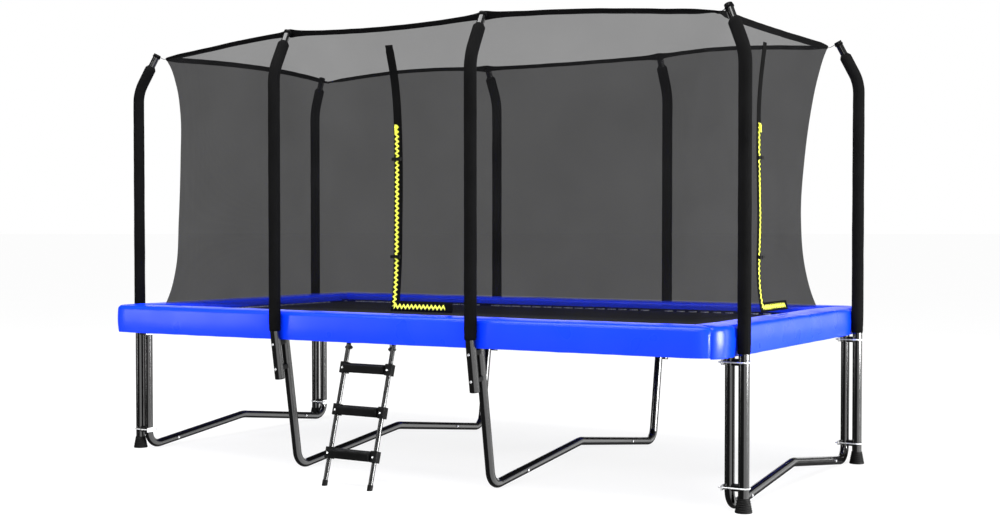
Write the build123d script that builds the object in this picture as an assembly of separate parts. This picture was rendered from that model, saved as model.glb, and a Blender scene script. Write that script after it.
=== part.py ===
from build123d import *
import math
import os

# A rectangular garden trampoline with a safety enclosure, in millimetres.
# +X runs along the long side, +Y from the ladder side to the back, +Z up.
# Everything is laid out about the middle of the frame, and FRAME_SHIFT then moves the
# whole object, so that the origin is the middle of its footprint, on the ground.

# ---- driving dimensions -------------------------------------------------------------
RAIL_LENGTH = 4288.0      # between the centre lines of the two short rails
RAIL_WIDTH = 2440.0       # between the centre lines of the two long rails
RAIL_HEIGHT = 905.0       # centre line of the top rail above the ground
RAIL_DIA = 60.0
RAIL_BEND = 180.0         # radius of the rail's corners
LEG_DIA = 54.0
POLE_DIA = 60.0           # lower pole
UPPER_POLE_DIA = 45.0
TUBE_WALL = 2.0
POLE_GAP = 80.0           # from a corner leg's centre line out to its pole's
MID_POLE_GAP = 85.0       # from the long rail's centre line out to a mid pole's
CORNER_LEG_Y = 961.0      # corner legs and poles, from the middle of the short side
MID_LEG_X = 718.0         # mid legs and poles, from the middle of the long side
MID_LEG_LEAN = 9.0        # degrees, the mid legs' feet lean inwards
BASE_RISE = 7.0           # degrees, the base bars rise to the middle
ELBOW_BEND = 90.0
MAT_HEIGHT = 936.0
MAT_INSET = 170.0         # from the rail's centre line in to the mat's edge
PAD_TOP = 1000.0
SKIRT_BOTTOM = 832.0
POLE_LEAN = 27.5          # degrees, the top of each pole leans inwards
CORNER_POLE_TOP = 2713.0
MID_POLE_TOP = 2741.0
LADDER_WIDTH = 330.0      # between the ladder's two tubes
FRAME_SHIFT = 81.0        # the ladder reaches out in front by twice this much more

# ---- clearances and small sizes -----------------------------------------------------
FIT = 0.15                # radial gap of one tube inside another
GAP = 0.4                 # between parts that touch on the real object
BOLT_DIA = 8.0
BOLT_HOLE = 8.8
HEAD_FLATS, HEAD_HEIGHT = 13.0, 5.5
NUT_FLATS, NUT_HEIGHT = 13.0, 7.0

HALF_X, HALF_Y = RAIL_LENGTH / 2, RAIL_WIDTH / 2
RAIL_R, LEG_R, POLE_R = RAIL_DIA / 2, LEG_DIA / 2, POLE_DIA / 2
MAT_X, MAT_Y = HALF_X - MAT_INSET, HALF_Y - MAT_INSET
LEAN, RISE = math.radians(MID_LEG_LEAN), math.radians(BASE_RISE)

CORNERS = {
    "front_left": (-1, -1),
    "front_right": (1, -1),
    "back_left": (-1, 1),
    "back_right": (1, 1),
}


# ---- helpers ------------------------------------------------------------------------
def at_corner(shape, side):
    """A shape built on the +X +Y corner, mirrored to another corner."""
    if side[0] < 0:
        shape = mirror(shape, about=Plane.YZ)
    if side[1] < 0:
        shape = mirror(shape, about=Plane.XZ)
    return shape


def all_corners(shape):
    return [at_corner(shape, side) for side in CORNERS.values()]


def rod(start, end, dia):
    """A round bar from start to end."""
    start, end = Vector(*start), Vector(*end)
    reach = end - start
    bar = Cylinder(dia / 2, reach.length, align=(Align.CENTER, Align.CENTER, Align.MIN))
    return Plane(origin=start, z_dir=reach) * bar


def sweep_round(points, bends, dia, wall=None):
    """A round bar or tube along straight runs joined by arcs."""
    path = FilletPolyline(*points, radius=bends) if len(points) > 2 else Line(*points)
    section = Circle(dia / 2)
    if wall:
        section -= Circle(dia / 2 - wall)
    return sweep(Plane(origin=path @ 0, z_dir=path % 0) * section, path=path)


def collar(centre, direction, outer, inner, length):
    """A ring or sleeve centred on a point of its axis."""
    plane = Plane(origin=centre, z_dir=direction)
    return plane * (Cylinder(outer / 2, length) - Cylinder(inner / 2, length + 1))


def hexagon(origin, direction, flats, height, hole=0.0):
    """A hexagon head or nut standing on origin, along direction."""
    shape = extrude(RegularPolygon(flats / 2, 6, major_radius=False), height)
    if hole:
        shape -= Cylinder(hole / 2, 3 * height)
    return Plane(origin=origin, z_dir=direction) * shape


def save(node, *shapes):
    """Write one sub-part's solids to its own file."""
    solids = [s for shape in shapes for s in shape.solids()]
    moved = Location((0, FRAME_SHIFT, 0)) * Compound(children=solids)
    moved.label = node
    export_step(moved, f"parts/{node}.step")


# ---- legs' centre lines -------------------------------------------------------------
def leg_line(top_y, lean):
    """Corner point of a leg's elbow and the height of its base bar's middle.

    The elbow's arc touches the ground, the leg comes down into it leaning inwards, and
    the base bar leaves it rising towards the middle.
    """
    arc_z = LEG_R + ELBOW_BEND
    arc_y = top_y - (RAIL_HEIGHT - arc_z) * math.tan(lean) - ELBOW_BEND / math.cos(lean)
    middle_z = (
        arc_z
        - ELBOW_BEND * math.cos(RISE)
        + (arc_y - ELBOW_BEND * math.sin(RISE)) * math.tan(RISE)
    )
    slopes = math.tan(lean) * math.tan(RISE)
    z = (middle_z - top_y * math.tan(RISE) + RAIL_HEIGHT * slopes) / (1 + slopes)
    return top_y - (RAIL_HEIGHT - z) * math.tan(lean), z, middle_z


LEG_START = 36.0          # the leg begins this far below the rail's centre line
BASE_JOINT_Y = 750.0      # where a leg's foot run enters the base bar
SPIGOT = 90.0             # length of the reduced end inside the base bar
SPIGOT_DIA = LEG_DIA - 2 * (TUBE_WALL + FIT)
JOINT_BOLT = 45.0         # from the base bar's end in to its bolt


def on_base(y, middle_z):
    return middle_z - y * math.tan(RISE)


def leg(x, top_y, lean):
    """An L-shaped leg: upright, elbow and a foot run with a reduced end."""
    corner_y, corner_z, middle_z = leg_line(top_y, lean)
    down = Vector(0, -math.sin(lean), -math.cos(lean))
    top = Vector(x, top_y, RAIL_HEIGHT) + down * LEG_START
    end = Vector(x, BASE_JOINT_Y, on_base(BASE_JOINT_Y, middle_z))
    inward = Vector(0, -math.cos(RISE), math.sin(RISE))
    body = sweep_round([top, (x, corner_y, corner_z), end], ELBOW_BEND, LEG_DIA, TUBE_WALL)
    inner = SPIGOT_DIA - 2 * TUBE_WALL
    body += collar(end - inward * 2, inward, LEG_DIA, inner, 4.0)
    body += collar(end + inward * (SPIGOT / 2 - 2), inward, SPIGOT_DIA, inner, SPIGOT)
    return body - joint_hole(x, middle_z)


def base_bar(x, middle_z):
    """A bent bar between two legs' feet, high in the middle."""
    start = BASE_JOINT_Y - GAP
    ends = [(x, s * start, on_base(start, middle_z)) for s in (-1, 1)]
    bar = sweep_round([ends[0], (x, 0, middle_z), ends[1]], 250.0, LEG_DIA, TUBE_WALL)
    hole = joint_hole(x, middle_z)
    return bar - hole - mirror(hole, about=Plane.XZ)


def joint_point(x, middle_z):
    y = BASE_JOINT_Y - JOINT_BOLT * math.cos(RISE)
    return Vector(x, y, on_base(y, middle_z))


def joint_hole(x, middle_z):
    point = joint_point(x, middle_z)
    return Plane(origin=point, z_dir=(1, 0, 0)) * Cylinder(BOLT_HOLE / 2, 2 * LEG_DIA)


# ---- top rail -----------------------------------------------------------------------
SOCKET_LENGTH = 150.0
SOCKET_WALL = 2.5
STUB_LENGTH = 90.0        # of the socket's stub inside the leg
STUB_DIA = LEG_DIA - 2 * (TUBE_WALL + FIT)
SPRING_PITCH = 89.0
SPRING_ANCHOR = 15.0      # the springs' slots are this far inside the rail's centre line
SLOT = (8.0, 14.0)        # along and across the rail


def spread(start, end, pitch):
    """Evenly spaced places from start to end, about a pitch apart."""
    count = round((end - start) / pitch)
    return [start + (end - start) * i / count for i in range(count + 1)]


def long_side_springs():
    """Places along the long side, clear of the mid sockets."""
    clear = SOCKET_LENGTH / 2 + 18
    outer = spread(MID_LEG_X + clear, MAT_X - 65, SPRING_PITCH)
    inner = spread(-(MID_LEG_X - clear), MID_LEG_X - clear, SPRING_PITCH)
    return [-x for x in outer] + inner + outer


def short_side_springs():
    return spread(-(CORNER_LEG_Y - 91), CORNER_LEG_Y - 91, SPRING_PITCH)


def spring_places():
    """(anchor point on the rail, heading in towards the mat in degrees) of each spring."""
    z = MAT_HEIGHT
    reach = HALF_Y - SPRING_ANCHOR
    places = [((x, s * reach, z), -90.0 * s) for s in (-1, 1) for x in long_side_springs()]
    reach = HALF_X - SPRING_ANCHOR
    for s in (-1, 1):
        heading = 180.0 if s > 0 else 0.0
        places += [((s * reach, y, z), heading) for y in short_side_springs()]
    diagonal = (RAIL_BEND - SPRING_ANCHOR) * math.sqrt(0.5)
    for sx, sy in CORNERS.values():
        x, y = sx * (HALF_X - RAIL_BEND + diagonal), sy * (HALF_Y - RAIL_BEND + diagonal)
        places.append(((x, y, z), math.degrees(math.atan2(-sy, -sx))))
    return places


def slots():
    """Cutters for the slots that the springs hook into."""
    cutter = Box(SLOT[1], SLOT[0], 40.0)
    return [Location(point) * Rot(0, 0, turn) * cutter for point, turn in spring_places()]


def cut_slots(rail, cutters):
    box = rail.bounding_box()
    for cutter in cutters:
        place = cutter.center()
        if box.min.X < place.X < box.max.X and box.min.Y < place.Y < box.max.Y:
            rail -= cutter
    return rail


def corner_rail():
    """From the socket on the short side round the bend to the one on the long side."""
    points = [
        (HALF_X, CORNER_LEG_Y + 1, RAIL_HEIGHT),
        (HALF_X, HALF_Y, RAIL_HEIGHT),
        (MID_LEG_X + 1, HALF_Y, RAIL_HEIGHT),
    ]
    return sweep_round(points, RAIL_BEND, RAIL_DIA, TUBE_WALL)


def socket(x, y, along, lean):
    """A sleeve over two rail ends with a stub for the leg under it."""
    centre = Vector(x, y, RAIL_HEIGHT)
    down = Vector(0, -math.sin(lean), -math.cos(lean))
    outer = RAIL_DIA + 2 * (FIT + SOCKET_WALL)
    reach = LEG_START + STUB_LENGTH
    stub = rod(centre, centre + down * reach, STUB_DIA)
    stub -= rod(centre, centre + down * (reach + 1), STUB_DIA - 5)
    body = stub + Plane(origin=centre, z_dir=along) * Cylinder(outer / 2, SOCKET_LENGTH)
    return body - rod(centre - along * 100, centre + along * 100, RAIL_DIA + 2 * FIT)


# ---- enclosure poles ----------------------------------------------------------------
FOOT_HEIGHT, FOOT_TOP_DIA, FOOT_DIA, FOOT_SOLE = 77.0, 68.0, 95.0, 12.0
LOWER_POLE_TOP = 1150.0
UPPER_POLE_BOTTOM = 1050.0
POLE_TOP_BEND = 280.0
MID_POLE_BEND_Z = 880.0
MID_POLE_BOTTOM = 587.0
FOAM_DIA = 72.0
SLEEVE_DIA = 74.0
CORNER_SLEEVE = (845.0, 2632.0)   # lowest and highest points, along the pole
MID_SLEEVE = (882.0, 2672.0)
CAP_HEIGHT = 14.0
MID_POLE_Y = HALF_Y + MID_POLE_GAP
CORNER_POLE_X = HALF_X + POLE_GAP
CORNER_TOP_AIM = Vector(-0.9, -0.436, 0).normalized()


def pole_heading(aim):
    lean = math.radians(POLE_LEAN)
    return aim * math.sin(lean) + Vector(0, 0, math.cos(lean))


def pole_bend(foot, aim, top):
    """Corner point where a pole turns inwards, and its top point."""
    bend = Vector(foot.X, foot.Y, top - 262.0)
    return bend, bend + pole_heading(aim) * ((top - bend.Z) / math.cos(math.radians(POLE_LEAN)))


def along_pole(foot, aim, top, dia, low, high, wall=None):
    """A round piece that follows a pole's line between two heights."""
    bend, _ = pole_bend(foot, aim, top)
    end = bend + pole_heading(aim) * ((high - bend.Z) / math.cos(math.radians(POLE_LEAN)))
    return sweep_round([(foot.X, foot.Y, low), bend, end], POLE_TOP_BEND, dia, wall)


def pole_set(foot, aim, top, sleeve):
    """Upper pole, bush, foam, sleeve and cap of one pole."""
    upper = along_pole(foot, aim, top, UPPER_POLE_DIA, UPPER_POLE_BOTTOM, top - 10, TUBE_WALL)
    foam_low = LOWER_POLE_TOP + 2
    foam_wall = (FOAM_DIA - UPPER_POLE_DIA) / 2 - FIT
    foam = along_pole(foot, aim, top, FOAM_DIA, foam_low, sleeve[1] - 4, foam_wall)
    skin_wall = (SLEEVE_DIA - FOAM_DIA) / 2 - FIT
    skin = along_pole(foot, aim, top, SLEEVE_DIA, sleeve[0], sleeve[1], skin_wall)
    bush_dia = POLE_DIA - 2 * (TUBE_WALL + FIT)
    middle = (UPPER_POLE_BOTTOM + LOWER_POLE_TOP) / 2
    bush = collar((foot.X, foot.Y, middle), (0, 0, 1), bush_dia, UPPER_POLE_DIA + 2 * FIT, 100)
    heading = pole_heading(aim)
    _, tip = pole_bend(foot, aim, top)
    lid = rod(tip - heading * 8, tip, UPPER_POLE_DIA + 3)
    plug = rod(tip - heading * 45, tip - heading * 8, UPPER_POLE_DIA - 2 * TUBE_WALL - 2 * FIT)
    mouth = Plane(origin=tip - heading * 10.4, z_dir=-heading)
    upper -= mouth * Box(200, 200, 60, align=(Align.CENTER, Align.CENTER, Align.MAX))
    return upper, bush, foam, skin, lid + plug


def corner_lower_pole():
    foot = (CORNER_POLE_X, CORNER_LEG_Y)
    low = FOOT_SOLE + GAP
    return sweep_round([(*foot, low), (*foot, LOWER_POLE_TOP)], None, POLE_DIA, TUBE_WALL)


def mid_pole_end():
    """Bottom point of the mid pole, whose last stretch runs beside the leaning leg."""
    drop = MID_POLE_BEND_Z - MID_POLE_BOTTOM
    return Vector(MID_LEG_X, MID_POLE_Y - drop * math.tan(LEAN), MID_POLE_BOTTOM)


def mid_lower_pole():
    points = [
        (MID_LEG_X, MID_POLE_Y, LOWER_POLE_TOP),
        (MID_LEG_X, MID_POLE_Y, MID_POLE_BEND_Z),
        mid_pole_end(),
    ]
    return sweep_round(points, 200.0, POLE_DIA, TUBE_WALL)


def rubber_foot():
    x, y = CORNER_POLE_X, CORNER_LEG_Y
    cone = Cone(FOOT_DIA / 2, FOOT_TOP_DIA / 2, FOOT_HEIGHT)
    cone -= Pos(0, 0, FOOT_SOLE) * Cylinder(POLE_R + FIT, FOOT_HEIGHT)
    return Pos(x, y, FOOT_HEIGHT / 2) * cone


def end_plug():
    """Plastic plug in the mid pole's open lower end."""
    up = Vector(0, math.sin(LEAN), math.cos(LEAN))
    end = mid_pole_end()
    flange = rod(end - up * 4, end - up * GAP, POLE_DIA)
    return flange + rod(end - up, end + up * 25, POLE_DIA - 2 * (TUBE_WALL + FIT))


# ---- clamps that hold the poles to the legs -----------------------------------------
CLAMP_HEIGHTS = (130.0, 800.0)
U_BOLT_R = POLE_R + BOLT_DIA / 2 + GAP
PLATE_SIZE = (5.0, 92.0, 30.0)


def corner_clamp(z):
    """U-bolt, spacer, plate and two nuts that clamp a corner pole to its leg."""
    plate_x = HALF_X - LEG_R - GAP - PLATE_SIZE[0]
    tail_x = plate_x - NUT_HEIGHT - 12
    y0, y1 = CORNER_LEG_Y - U_BOLT_R, CORNER_LEG_Y + U_BOLT_R
    start, end = Vector(tail_x, y1, z), Vector(tail_x, y0, z)
    out = Line(start, (CORNER_POLE_X, y1, z))
    turn = ThreePointArc(
        (CORNER_POLE_X, y1, z),
        (CORNER_POLE_X + U_BOLT_R, CORNER_LEG_Y, z),
        (CORNER_POLE_X, y0, z),
    )
    path = Wire([*out.edges(), *turn.edges(), *Line((CORNER_POLE_X, y0, z), end).edges()])
    bolt = sweep(Plane(origin=start, z_dir=(1, 0, 0)) * Circle(BOLT_DIA / 2), path=path)
    middle = (HALF_X + CORNER_POLE_X) / 2
    spacer = Pos(middle, CORNER_LEG_Y, z) * Box(60, 44, 34)
    spacer -= Pos(HALF_X, CORNER_LEG_Y, z) * Cylinder(LEG_R + GAP, 50)
    spacer -= Pos(CORNER_POLE_X, CORNER_LEG_Y, z) * Cylinder(POLE_R + GAP, 50)
    plate = Pos(plate_x + PLATE_SIZE[0] / 2, CORNER_LEG_Y, z) * Box(*PLATE_SIZE)
    nuts = []
    for y in (y0, y1):
        plate -= rod((plate_x - 1, y, z), (plate_x + 9, y, z), BOLT_HOLE)
        nuts.append(hexagon((plate_x - GAP, y, z), (-1, 0, 0), NUT_FLATS, NUT_HEIGHT, BOLT_DIA + 0.3))
    return bolt, spacer, plate, nuts


POLE_BOLT_RISES = (62.0, 219.0)   # along the mid pole, up from its lower end


def mid_bolt(rise):
    """Through bolt, spacer and nut that hold a mid pole to its leg, and their hole."""
    up = Vector(0, math.sin(LEAN), math.cos(LEAN))
    inward = Vector(0, -math.cos(LEAN), math.sin(LEAN))
    centre = mid_pole_end() + up * rise
    leg_top = Vector(MID_LEG_X, HALF_Y, RAIL_HEIGHT)
    apart = (leg_top - centre).dot(inward)
    outside = centre - inward * (POLE_R + GAP)
    inside = centre + inward * (apart + LEG_R + GAP)
    bolt = hexagon(outside, inward * -1, HEAD_FLATS, HEAD_HEIGHT)
    bolt += rod(outside, inside + inward * (NUT_HEIGHT + 6), BOLT_DIA)
    nut = hexagon(inside, inward, NUT_FLATS, NUT_HEIGHT, BOLT_DIA + 0.3)
    hole = rod(outside - inward * 5, inside + inward * 5, BOLT_HOLE)
    leg_centre = centre + inward * apart
    long_tube = 60.0
    spacer = Plane(origin=(centre + leg_centre) / 2, x_dir=inward, z_dir=up) * Box(60, 40, 26)
    spacer -= rod(centre - up * long_tube, centre + up * long_tube, POLE_DIA + 2 * GAP)
    spacer -= rod(leg_centre - up * long_tube, leg_centre + up * long_tube, LEG_DIA + 2 * GAP)
    return bolt, spacer - hole, nut, hole


def joint_bolt(x, middle_z):
    """Bolt and nut through a leg's foot run and its base bar."""
    point = joint_point(x, middle_z)
    out = Vector(1, 0, 0)
    head = point + out * (LEG_R + GAP)
    tail = point - out * (LEG_R + GAP)
    bolt = hexagon(head, out, HEAD_FLATS, HEAD_HEIGHT)
    bolt += rod(head, tail - out * (NUT_HEIGHT + 5), BOLT_DIA)
    return bolt, hexagon(tail, out * -1, NUT_FLATS, NUT_HEIGHT, BOLT_DIA + 0.3)


# ---- springs, mat and pads ----------------------------------------------------------
SPRING_DIA, SPRING_WIRE = 19.0, 3.4
MAT_THICK = 3.0
RING_DEPTH, RING_WIDTH, RING_WIRE = 32.0, 44.0, 4.5
RING_ANGLE = math.atan(RING_WIDTH / 2 / RING_DEPTH)
RING_TIP = MAT_INSET - SPRING_ANCHOR - RING_DEPTH - 1.0
SPRING_REACH = RING_TIP + (RING_WIRE + SPRING_WIRE / 2 + 0.3) / math.sin(RING_ANGLE)
RING_DROP = 4.6           # the rings lie this far below the springs' axes


def spring():
    """A closed stand-in for the coil, with its two hooks, along +X from the rail."""
    body = rod((14, 0, 0), (SPRING_REACH - 12, 0, 0), SPRING_DIA)
    wire = rod((0, 0, 0), (SPRING_REACH, 0, 0), SPRING_WIRE)
    rail_hook = rod((0, 0, 1.7), (0, 0, -13), SPRING_WIRE)
    ring_hook = rod((SPRING_REACH, 0, 1.7), (SPRING_REACH, 0, -8), SPRING_WIRE)
    return body + wire + rail_hook + ring_hook


def v_ring():
    """A triangular wire ring with its tip towards the rail, seen along the spring."""
    base = RING_TIP + RING_DEPTH
    half = RING_WIDTH / 2
    ring = make_face(Polyline((RING_TIP, 0), (base, half), (base, -half), close=True))
    ring -= offset(ring, -RING_WIRE)
    return Pos(0, 0, -RING_DROP - RING_WIRE / 2) * extrude(ring, RING_WIRE)


def mat():
    return Pos(0, 0, MAT_HEIGHT) * Box(2 * MAT_X, 2 * MAT_Y, MAT_THICK)


PAD_INNER = 5.0           # the pad reaches this far in over the mat's edge
PAD_FOAM = 46.0
SKIRT_THICK = 6.0
PAD_OUT_X = CORNER_POLE_X - SLEEVE_DIA / 2 - 1.0
PAD_OUT_Y = MID_POLE_Y - SLEEVE_DIA / 2 - 1.0
PAD_CORNER = 140.0


def pad_frame():
    """The whole pad as one frame: a flat foam part with a skirt hanging at its edge."""
    low = PAD_TOP - PAD_FOAM
    outline = RectangleRounded(2 * PAD_OUT_X, 2 * PAD_OUT_Y, PAD_CORNER)
    hole = Rectangle(2 * (MAT_X - PAD_INNER), 2 * (MAT_Y - PAD_INNER))
    lining = RectangleRounded(
        2 * (PAD_OUT_X - SKIRT_THICK), 2 * (PAD_OUT_Y - SKIRT_THICK), PAD_CORNER - SKIRT_THICK
    )
    top = Pos(0, 0, low) * extrude(outline - hole, PAD_FOAM)
    skirt = Pos(0, 0, SKIRT_BOTTOM) * extrude(outline - lining, PAD_TOP - SKIRT_BOTTOM - 10)
    return top + skirt


def pad_sections(frame):
    """The pad cut along its corners' diagonals into four sections."""
    inset = PAD_OUT_X - PAD_OUT_Y
    seam = 0.5
    reach = 1500.0
    wedge = Polyline(
        (inset + seam, 0), (inset + seam + reach, reach), (inset + seam + reach, -reach), close=True
    )
    right = frame & (Pos(0, 0, 500) * extrude(make_face(wedge), 800))
    left = mirror(right, about=Plane.YZ)
    block = Polyline(
        (-inset + seam, seam / 2),
        (inset - seam, seam / 2),
        (inset - seam + reach, reach + seam / 2),
        (-inset + seam - reach, reach + seam / 2),
        close=True,
    )
    back = frame & (Pos(0, 0, 500) * extrude(make_face(block), 800))
    return right, left, back, mirror(back, about=Plane.XZ)


# ---- safety net ---------------------------------------------------------------------
NET_THICK = 4.0
NET_INSET = 10.0          # of the net's foot inside the mat's edge
NET_FOOT, NET_HEM, NET_SHOULDER, NET_TOP = 946.0, 1100.0, 2150.0, 2690.0
DOOR_FLAT = 440.0         # the walls are flat this far each side of their middles
LONG_WALL = (1020.0, 996.0, 1085.0)      # its middle at the hem, the shoulder and the top
SHORT_WALL = (1933.0, 1916.0, 1965.0)


def net_levels():
    """Plan of the net at five heights: corner, at the mid poles, middles of both walls."""
    foot_x, foot_y = MAT_X - NET_INSET, MAT_Y - NET_INSET
    waist = (NET_HEM + NET_SHOULDER) / 2
    return [
        (NET_FOOT, (foot_x, foot_y), foot_y, foot_y, foot_x),
        (NET_HEM, (1910.0, 1005.0), 1026.0, LONG_WALL[0], SHORT_WALL[0]),
        (
            waist,
            (1868.0, 945.0),
            1018.0,
            (LONG_WALL[0] + LONG_WALL[1]) / 2,
            (SHORT_WALL[0] + SHORT_WALL[1]) / 2,
        ),
        (NET_SHOULDER, (1880.0, 925.0), 1030.0, LONG_WALL[1], SHORT_WALL[1]),
        (NET_TOP, (2055.0, 905.0), 1150.0, LONG_WALL[2], SHORT_WALL[2]),
    ]


def strip_loft(rows, thickness):
    """A thin wall through rows of plan points, thickened away from the middle."""
    sections = []
    for z, inner, outward in rows:
        outer = [(p[0] + outward[0] * thickness, p[1] + outward[1] * thickness) for p in inner]
        line = Polyline(*inner, *reversed(outer), close=True)
        sections.append(Pos(0, 0, z) * make_face(line))
    return loft(sections, ruled=True)


def long_net():
    """The net wall on the back; the front one mirrors it."""
    rows = []
    for z, (cx, cy), pole_y, long_y, _ in net_levels():
        end = cx - 1
        half = [(end, cy), (MID_LEG_X, pole_y), (DOOR_FLAT, long_y)]
        inner = half + [(-x, y) for x, y in reversed(half)]
        rows.append((z, inner, (0, 1)))
    return strip_loft(rows, NET_THICK)


def short_net():
    """The net wall on the right; the left one mirrors it."""
    rows = []
    for z, (cx, cy), _, _, short_x in net_levels():
        end = cy - 1
        inner = [(cx, -end), (short_x, -DOOR_FLAT), (short_x, DOOR_FLAT), (cx, end)]
        rows.append((z, inner, (1, 0)))
    return strip_loft(rows, NET_THICK)


# ---- door zips ----------------------------------------------------------------------
TAPE_WIDTH, TAPE_THICK = 60.0, 3.0
TAPE_LOW, TAPE_HIGH = NET_HEM, 2620.0
TEETH_OFFSET = 8.0                 # of the teeth from the tape's middle, to the plugs' side
ZIP_HIGH = NET_SHOULDER - 22.0     # top of the teeth, where the closed slider waits
ZIP_FOOT = 390.0                   # length of the zip along the net's foot
TAPE_FOOT, FOOT_TAPE_WIDTH = 1014.0, 56.0   # that part's lower edge, just above the pads
SLIDER_SIZE = (16.0, 7.0, 26.0)
TAB_SIZE = (9.0, 2.0, 42.0)
BUCKLE_HEIGHTS = (1342.0, 1934.0)


def door_parts(wall, foot_y, hand):
    """A door's zip and fastenings, on a wall that faces -Y and passes through x = 0.

    wall holds the wall's distance at the hem, the shoulder and the top. The teeth and the
    plugs are on the -X side for hand 1 and on the +X side for hand -1.
    """
    hem_y, shoulder_y, top_y = wall
    face = NET_THICK + GAP
    slope = math.atan2(hem_y - shoulder_y, NET_SHOULDER - NET_HEM)
    up = Vector(0, math.sin(slope), math.cos(slope))
    out = Vector(0, -math.cos(slope), math.sin(slope))

    def on_wall(z, lift):
        level = hem_y - (z - NET_HEM) * math.tan(slope)
        return Vector(0, -level, z) + out * lift

    def block(z, lift, size, x=0.0):
        """A box whose back stands lift off the wall, centred at a height."""
        centre = on_wall(z, face + lift + size[1] / 2) + Vector(hand * x, 0, 0)
        return Plane(origin=centre, x_dir=(1, 0, 0), z_dir=up) * Box(*size)

    def stretch(low, high):
        """A length of tape between two (y, z) points of the wall."""
        line = Polyline(
            low, high, (high[0] - TAPE_THICK, high[1]), (low[0] - TAPE_THICK, low[1]), close=True
        )
        return extrude(Plane.YZ * make_face(line), TAPE_WIDTH / 2, both=True)

    middle = (TAPE_LOW + NET_SHOULDER) / 2
    length = (NET_SHOULDER - TAPE_LOW) / math.cos(slope)
    tape = block(middle, 0, (TAPE_WIDTH, TAPE_THICK, length))
    lean = (top_y - shoulder_y) / (NET_TOP - NET_SHOULDER)
    high_y = shoulder_y + lean * (TAPE_HIGH - NET_SHOULDER)
    start = (-shoulder_y - face - 0.2, NET_SHOULDER - 4)
    tape += stretch(start, (-high_y - face - 1.0, TAPE_HIGH))
    low_y = foot_y + (hem_y - foot_y) * (TAPE_FOOT - NET_FOOT) / (NET_HEM - NET_FOOT)
    tape += stretch((-low_y - face - 1.0, TAPE_FOOT), (-hem_y - face - 0.2, NET_HEM + 2))
    foot = Pos(ZIP_FOOT / 2, -low_y - face - 1.0 - TAPE_THICK, TAPE_FOOT) * Box(
        ZIP_FOOT + TAPE_WIDTH, TAPE_THICK, FOOT_TAPE_WIDTH, align=(Align.CENTER, Align.MIN, Align.MIN)
    )
    tape += foot

    lift = TAPE_THICK + GAP
    bridge_lift = lift + SLIDER_SIZE[1]
    teeth = Vector(-hand * TEETH_OFFSET, 0, 0)
    slider = block(ZIP_HIGH, lift, SLIDER_SIZE, -TEETH_OFFSET)
    pin = on_wall(ZIP_HIGH, face + bridge_lift + 3.0) + teeth
    loop = rod(pin + Vector(-6.5, 0, 0), pin + Vector(6.5, 0, 0), 2.4)
    for x in (-7.25, 7.25):
        loop += block(ZIP_HIGH, bridge_lift - 0.5, (1.5, 5.2, 6.0), x - TEETH_OFFSET)
    slider += loop
    tab_centre = pin - up * (TAB_SIZE[2] / 2)
    tab = Plane(origin=tab_centre, x_dir=(1, 0, 0), z_dir=up) * Box(*TAB_SIZE)
    tab += rod(pin + Vector(-4.5, 0, 0), pin + Vector(4.5, 0, 0), 5.0)
    tab -= rod(pin + Vector(-9, 0, 0), pin + Vector(9, 0, 0), 2.5)

    sockets, plugs = [], []
    for z in BUCKLE_HEIGHTS:
        shell = block(z, lift, (26, 14, 22), 21)
        shell -= block(z, lift + 3, (23.5, 8, 16), 19.2)
        sockets.append(shell)
        tongue = block(z, lift + 4, (20, 6, 14), 20)
        link = block(z, lift + 4, (7, 6, 14), 7)
        neck = block(z, lift + 4, (4, 14.1, 14), 5.5)
        bridge = block(z, 17.5, (37, 4, 20), -11)
        plugs.append(tongue + link + neck + bridge)
    return tape, slider, tab, sockets, plugs


def on_short_wall(shape):
    """Turns a door made on the front wall onto the right wall."""
    return Rot(0, 0, 90) * shape


# ---- ladder -------------------------------------------------------------------------
LADDER_X = -24.0          # the ladder hangs this far off the middle
LADDER_TUBE = 28.0
LADDER_PIVOT = (-1252.0, 800.0)    # y and z of the bolts near its top
LADDER_REACH = 58.0       # of its tubes above the pivot, up behind the skirt
LADDER_FOOT_Y = -1484.0
STEP_HEIGHTS = (187.0, 436.0, 681.0)
STEP_DEPTH, STEP_THICK, STEP_WALL = 88.0, 50.0, 4.0
WRAP_SIZE = (48.0, 48.0, 66.0)
SCREW_DROP = 5.0          # of a screw below the middle of its wrap
HOOK_WIRE = 7.0
HOOK_KNEE_Z = 828.0       # where a hook straightens up behind the skirt
HOOK_EYE = 8.0            # width of the eye at a hook's lower end
HOOK_X = LADDER_WIDTH / 2 - LADDER_TUBE / 2 - GAP - HOOK_EYE / 2


def ladder_line():
    pivot_y, pivot_z = LADDER_PIVOT
    foot = Vector(0, LADDER_FOOT_Y, 0)
    up = (Vector(0, pivot_y, pivot_z) - foot).normalized()
    return foot, up


def ladder_rail(x):
    foot, up = ladder_line()
    side = Vector(x, 0, 0)
    bottom = foot + side + up * 10
    top = Vector(x, *LADDER_PIVOT) + up * LADDER_REACH
    tube = sweep_round([bottom, top], None, LADDER_TUBE, 1.8)
    pivot = Vector(x, *LADDER_PIVOT)
    tube -= rod(pivot - Vector(30, 0, 0), pivot + Vector(30, 0, 0), BOLT_DIA + 0.1)
    for z in STEP_HEIGHTS:
        tube -= screw_hole(z, x, 6.6)
    return tube


def ladder_foot_cap(x):
    foot, up = ladder_line()
    base = foot + Vector(x, 0, 0)
    cap = rod(base - up * 15, base + up * 32, LADDER_TUBE + 5)
    cap -= rod(base + up * (10 - GAP), base + up * 50, LADDER_TUBE + 0.3)
    return cap - Pos(base.X, base.Y, -50) * Box(200, 200, 100)


def step_frame(z):
    foot, up = ladder_line()
    return foot + up * (z / up.Z), up


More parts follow.
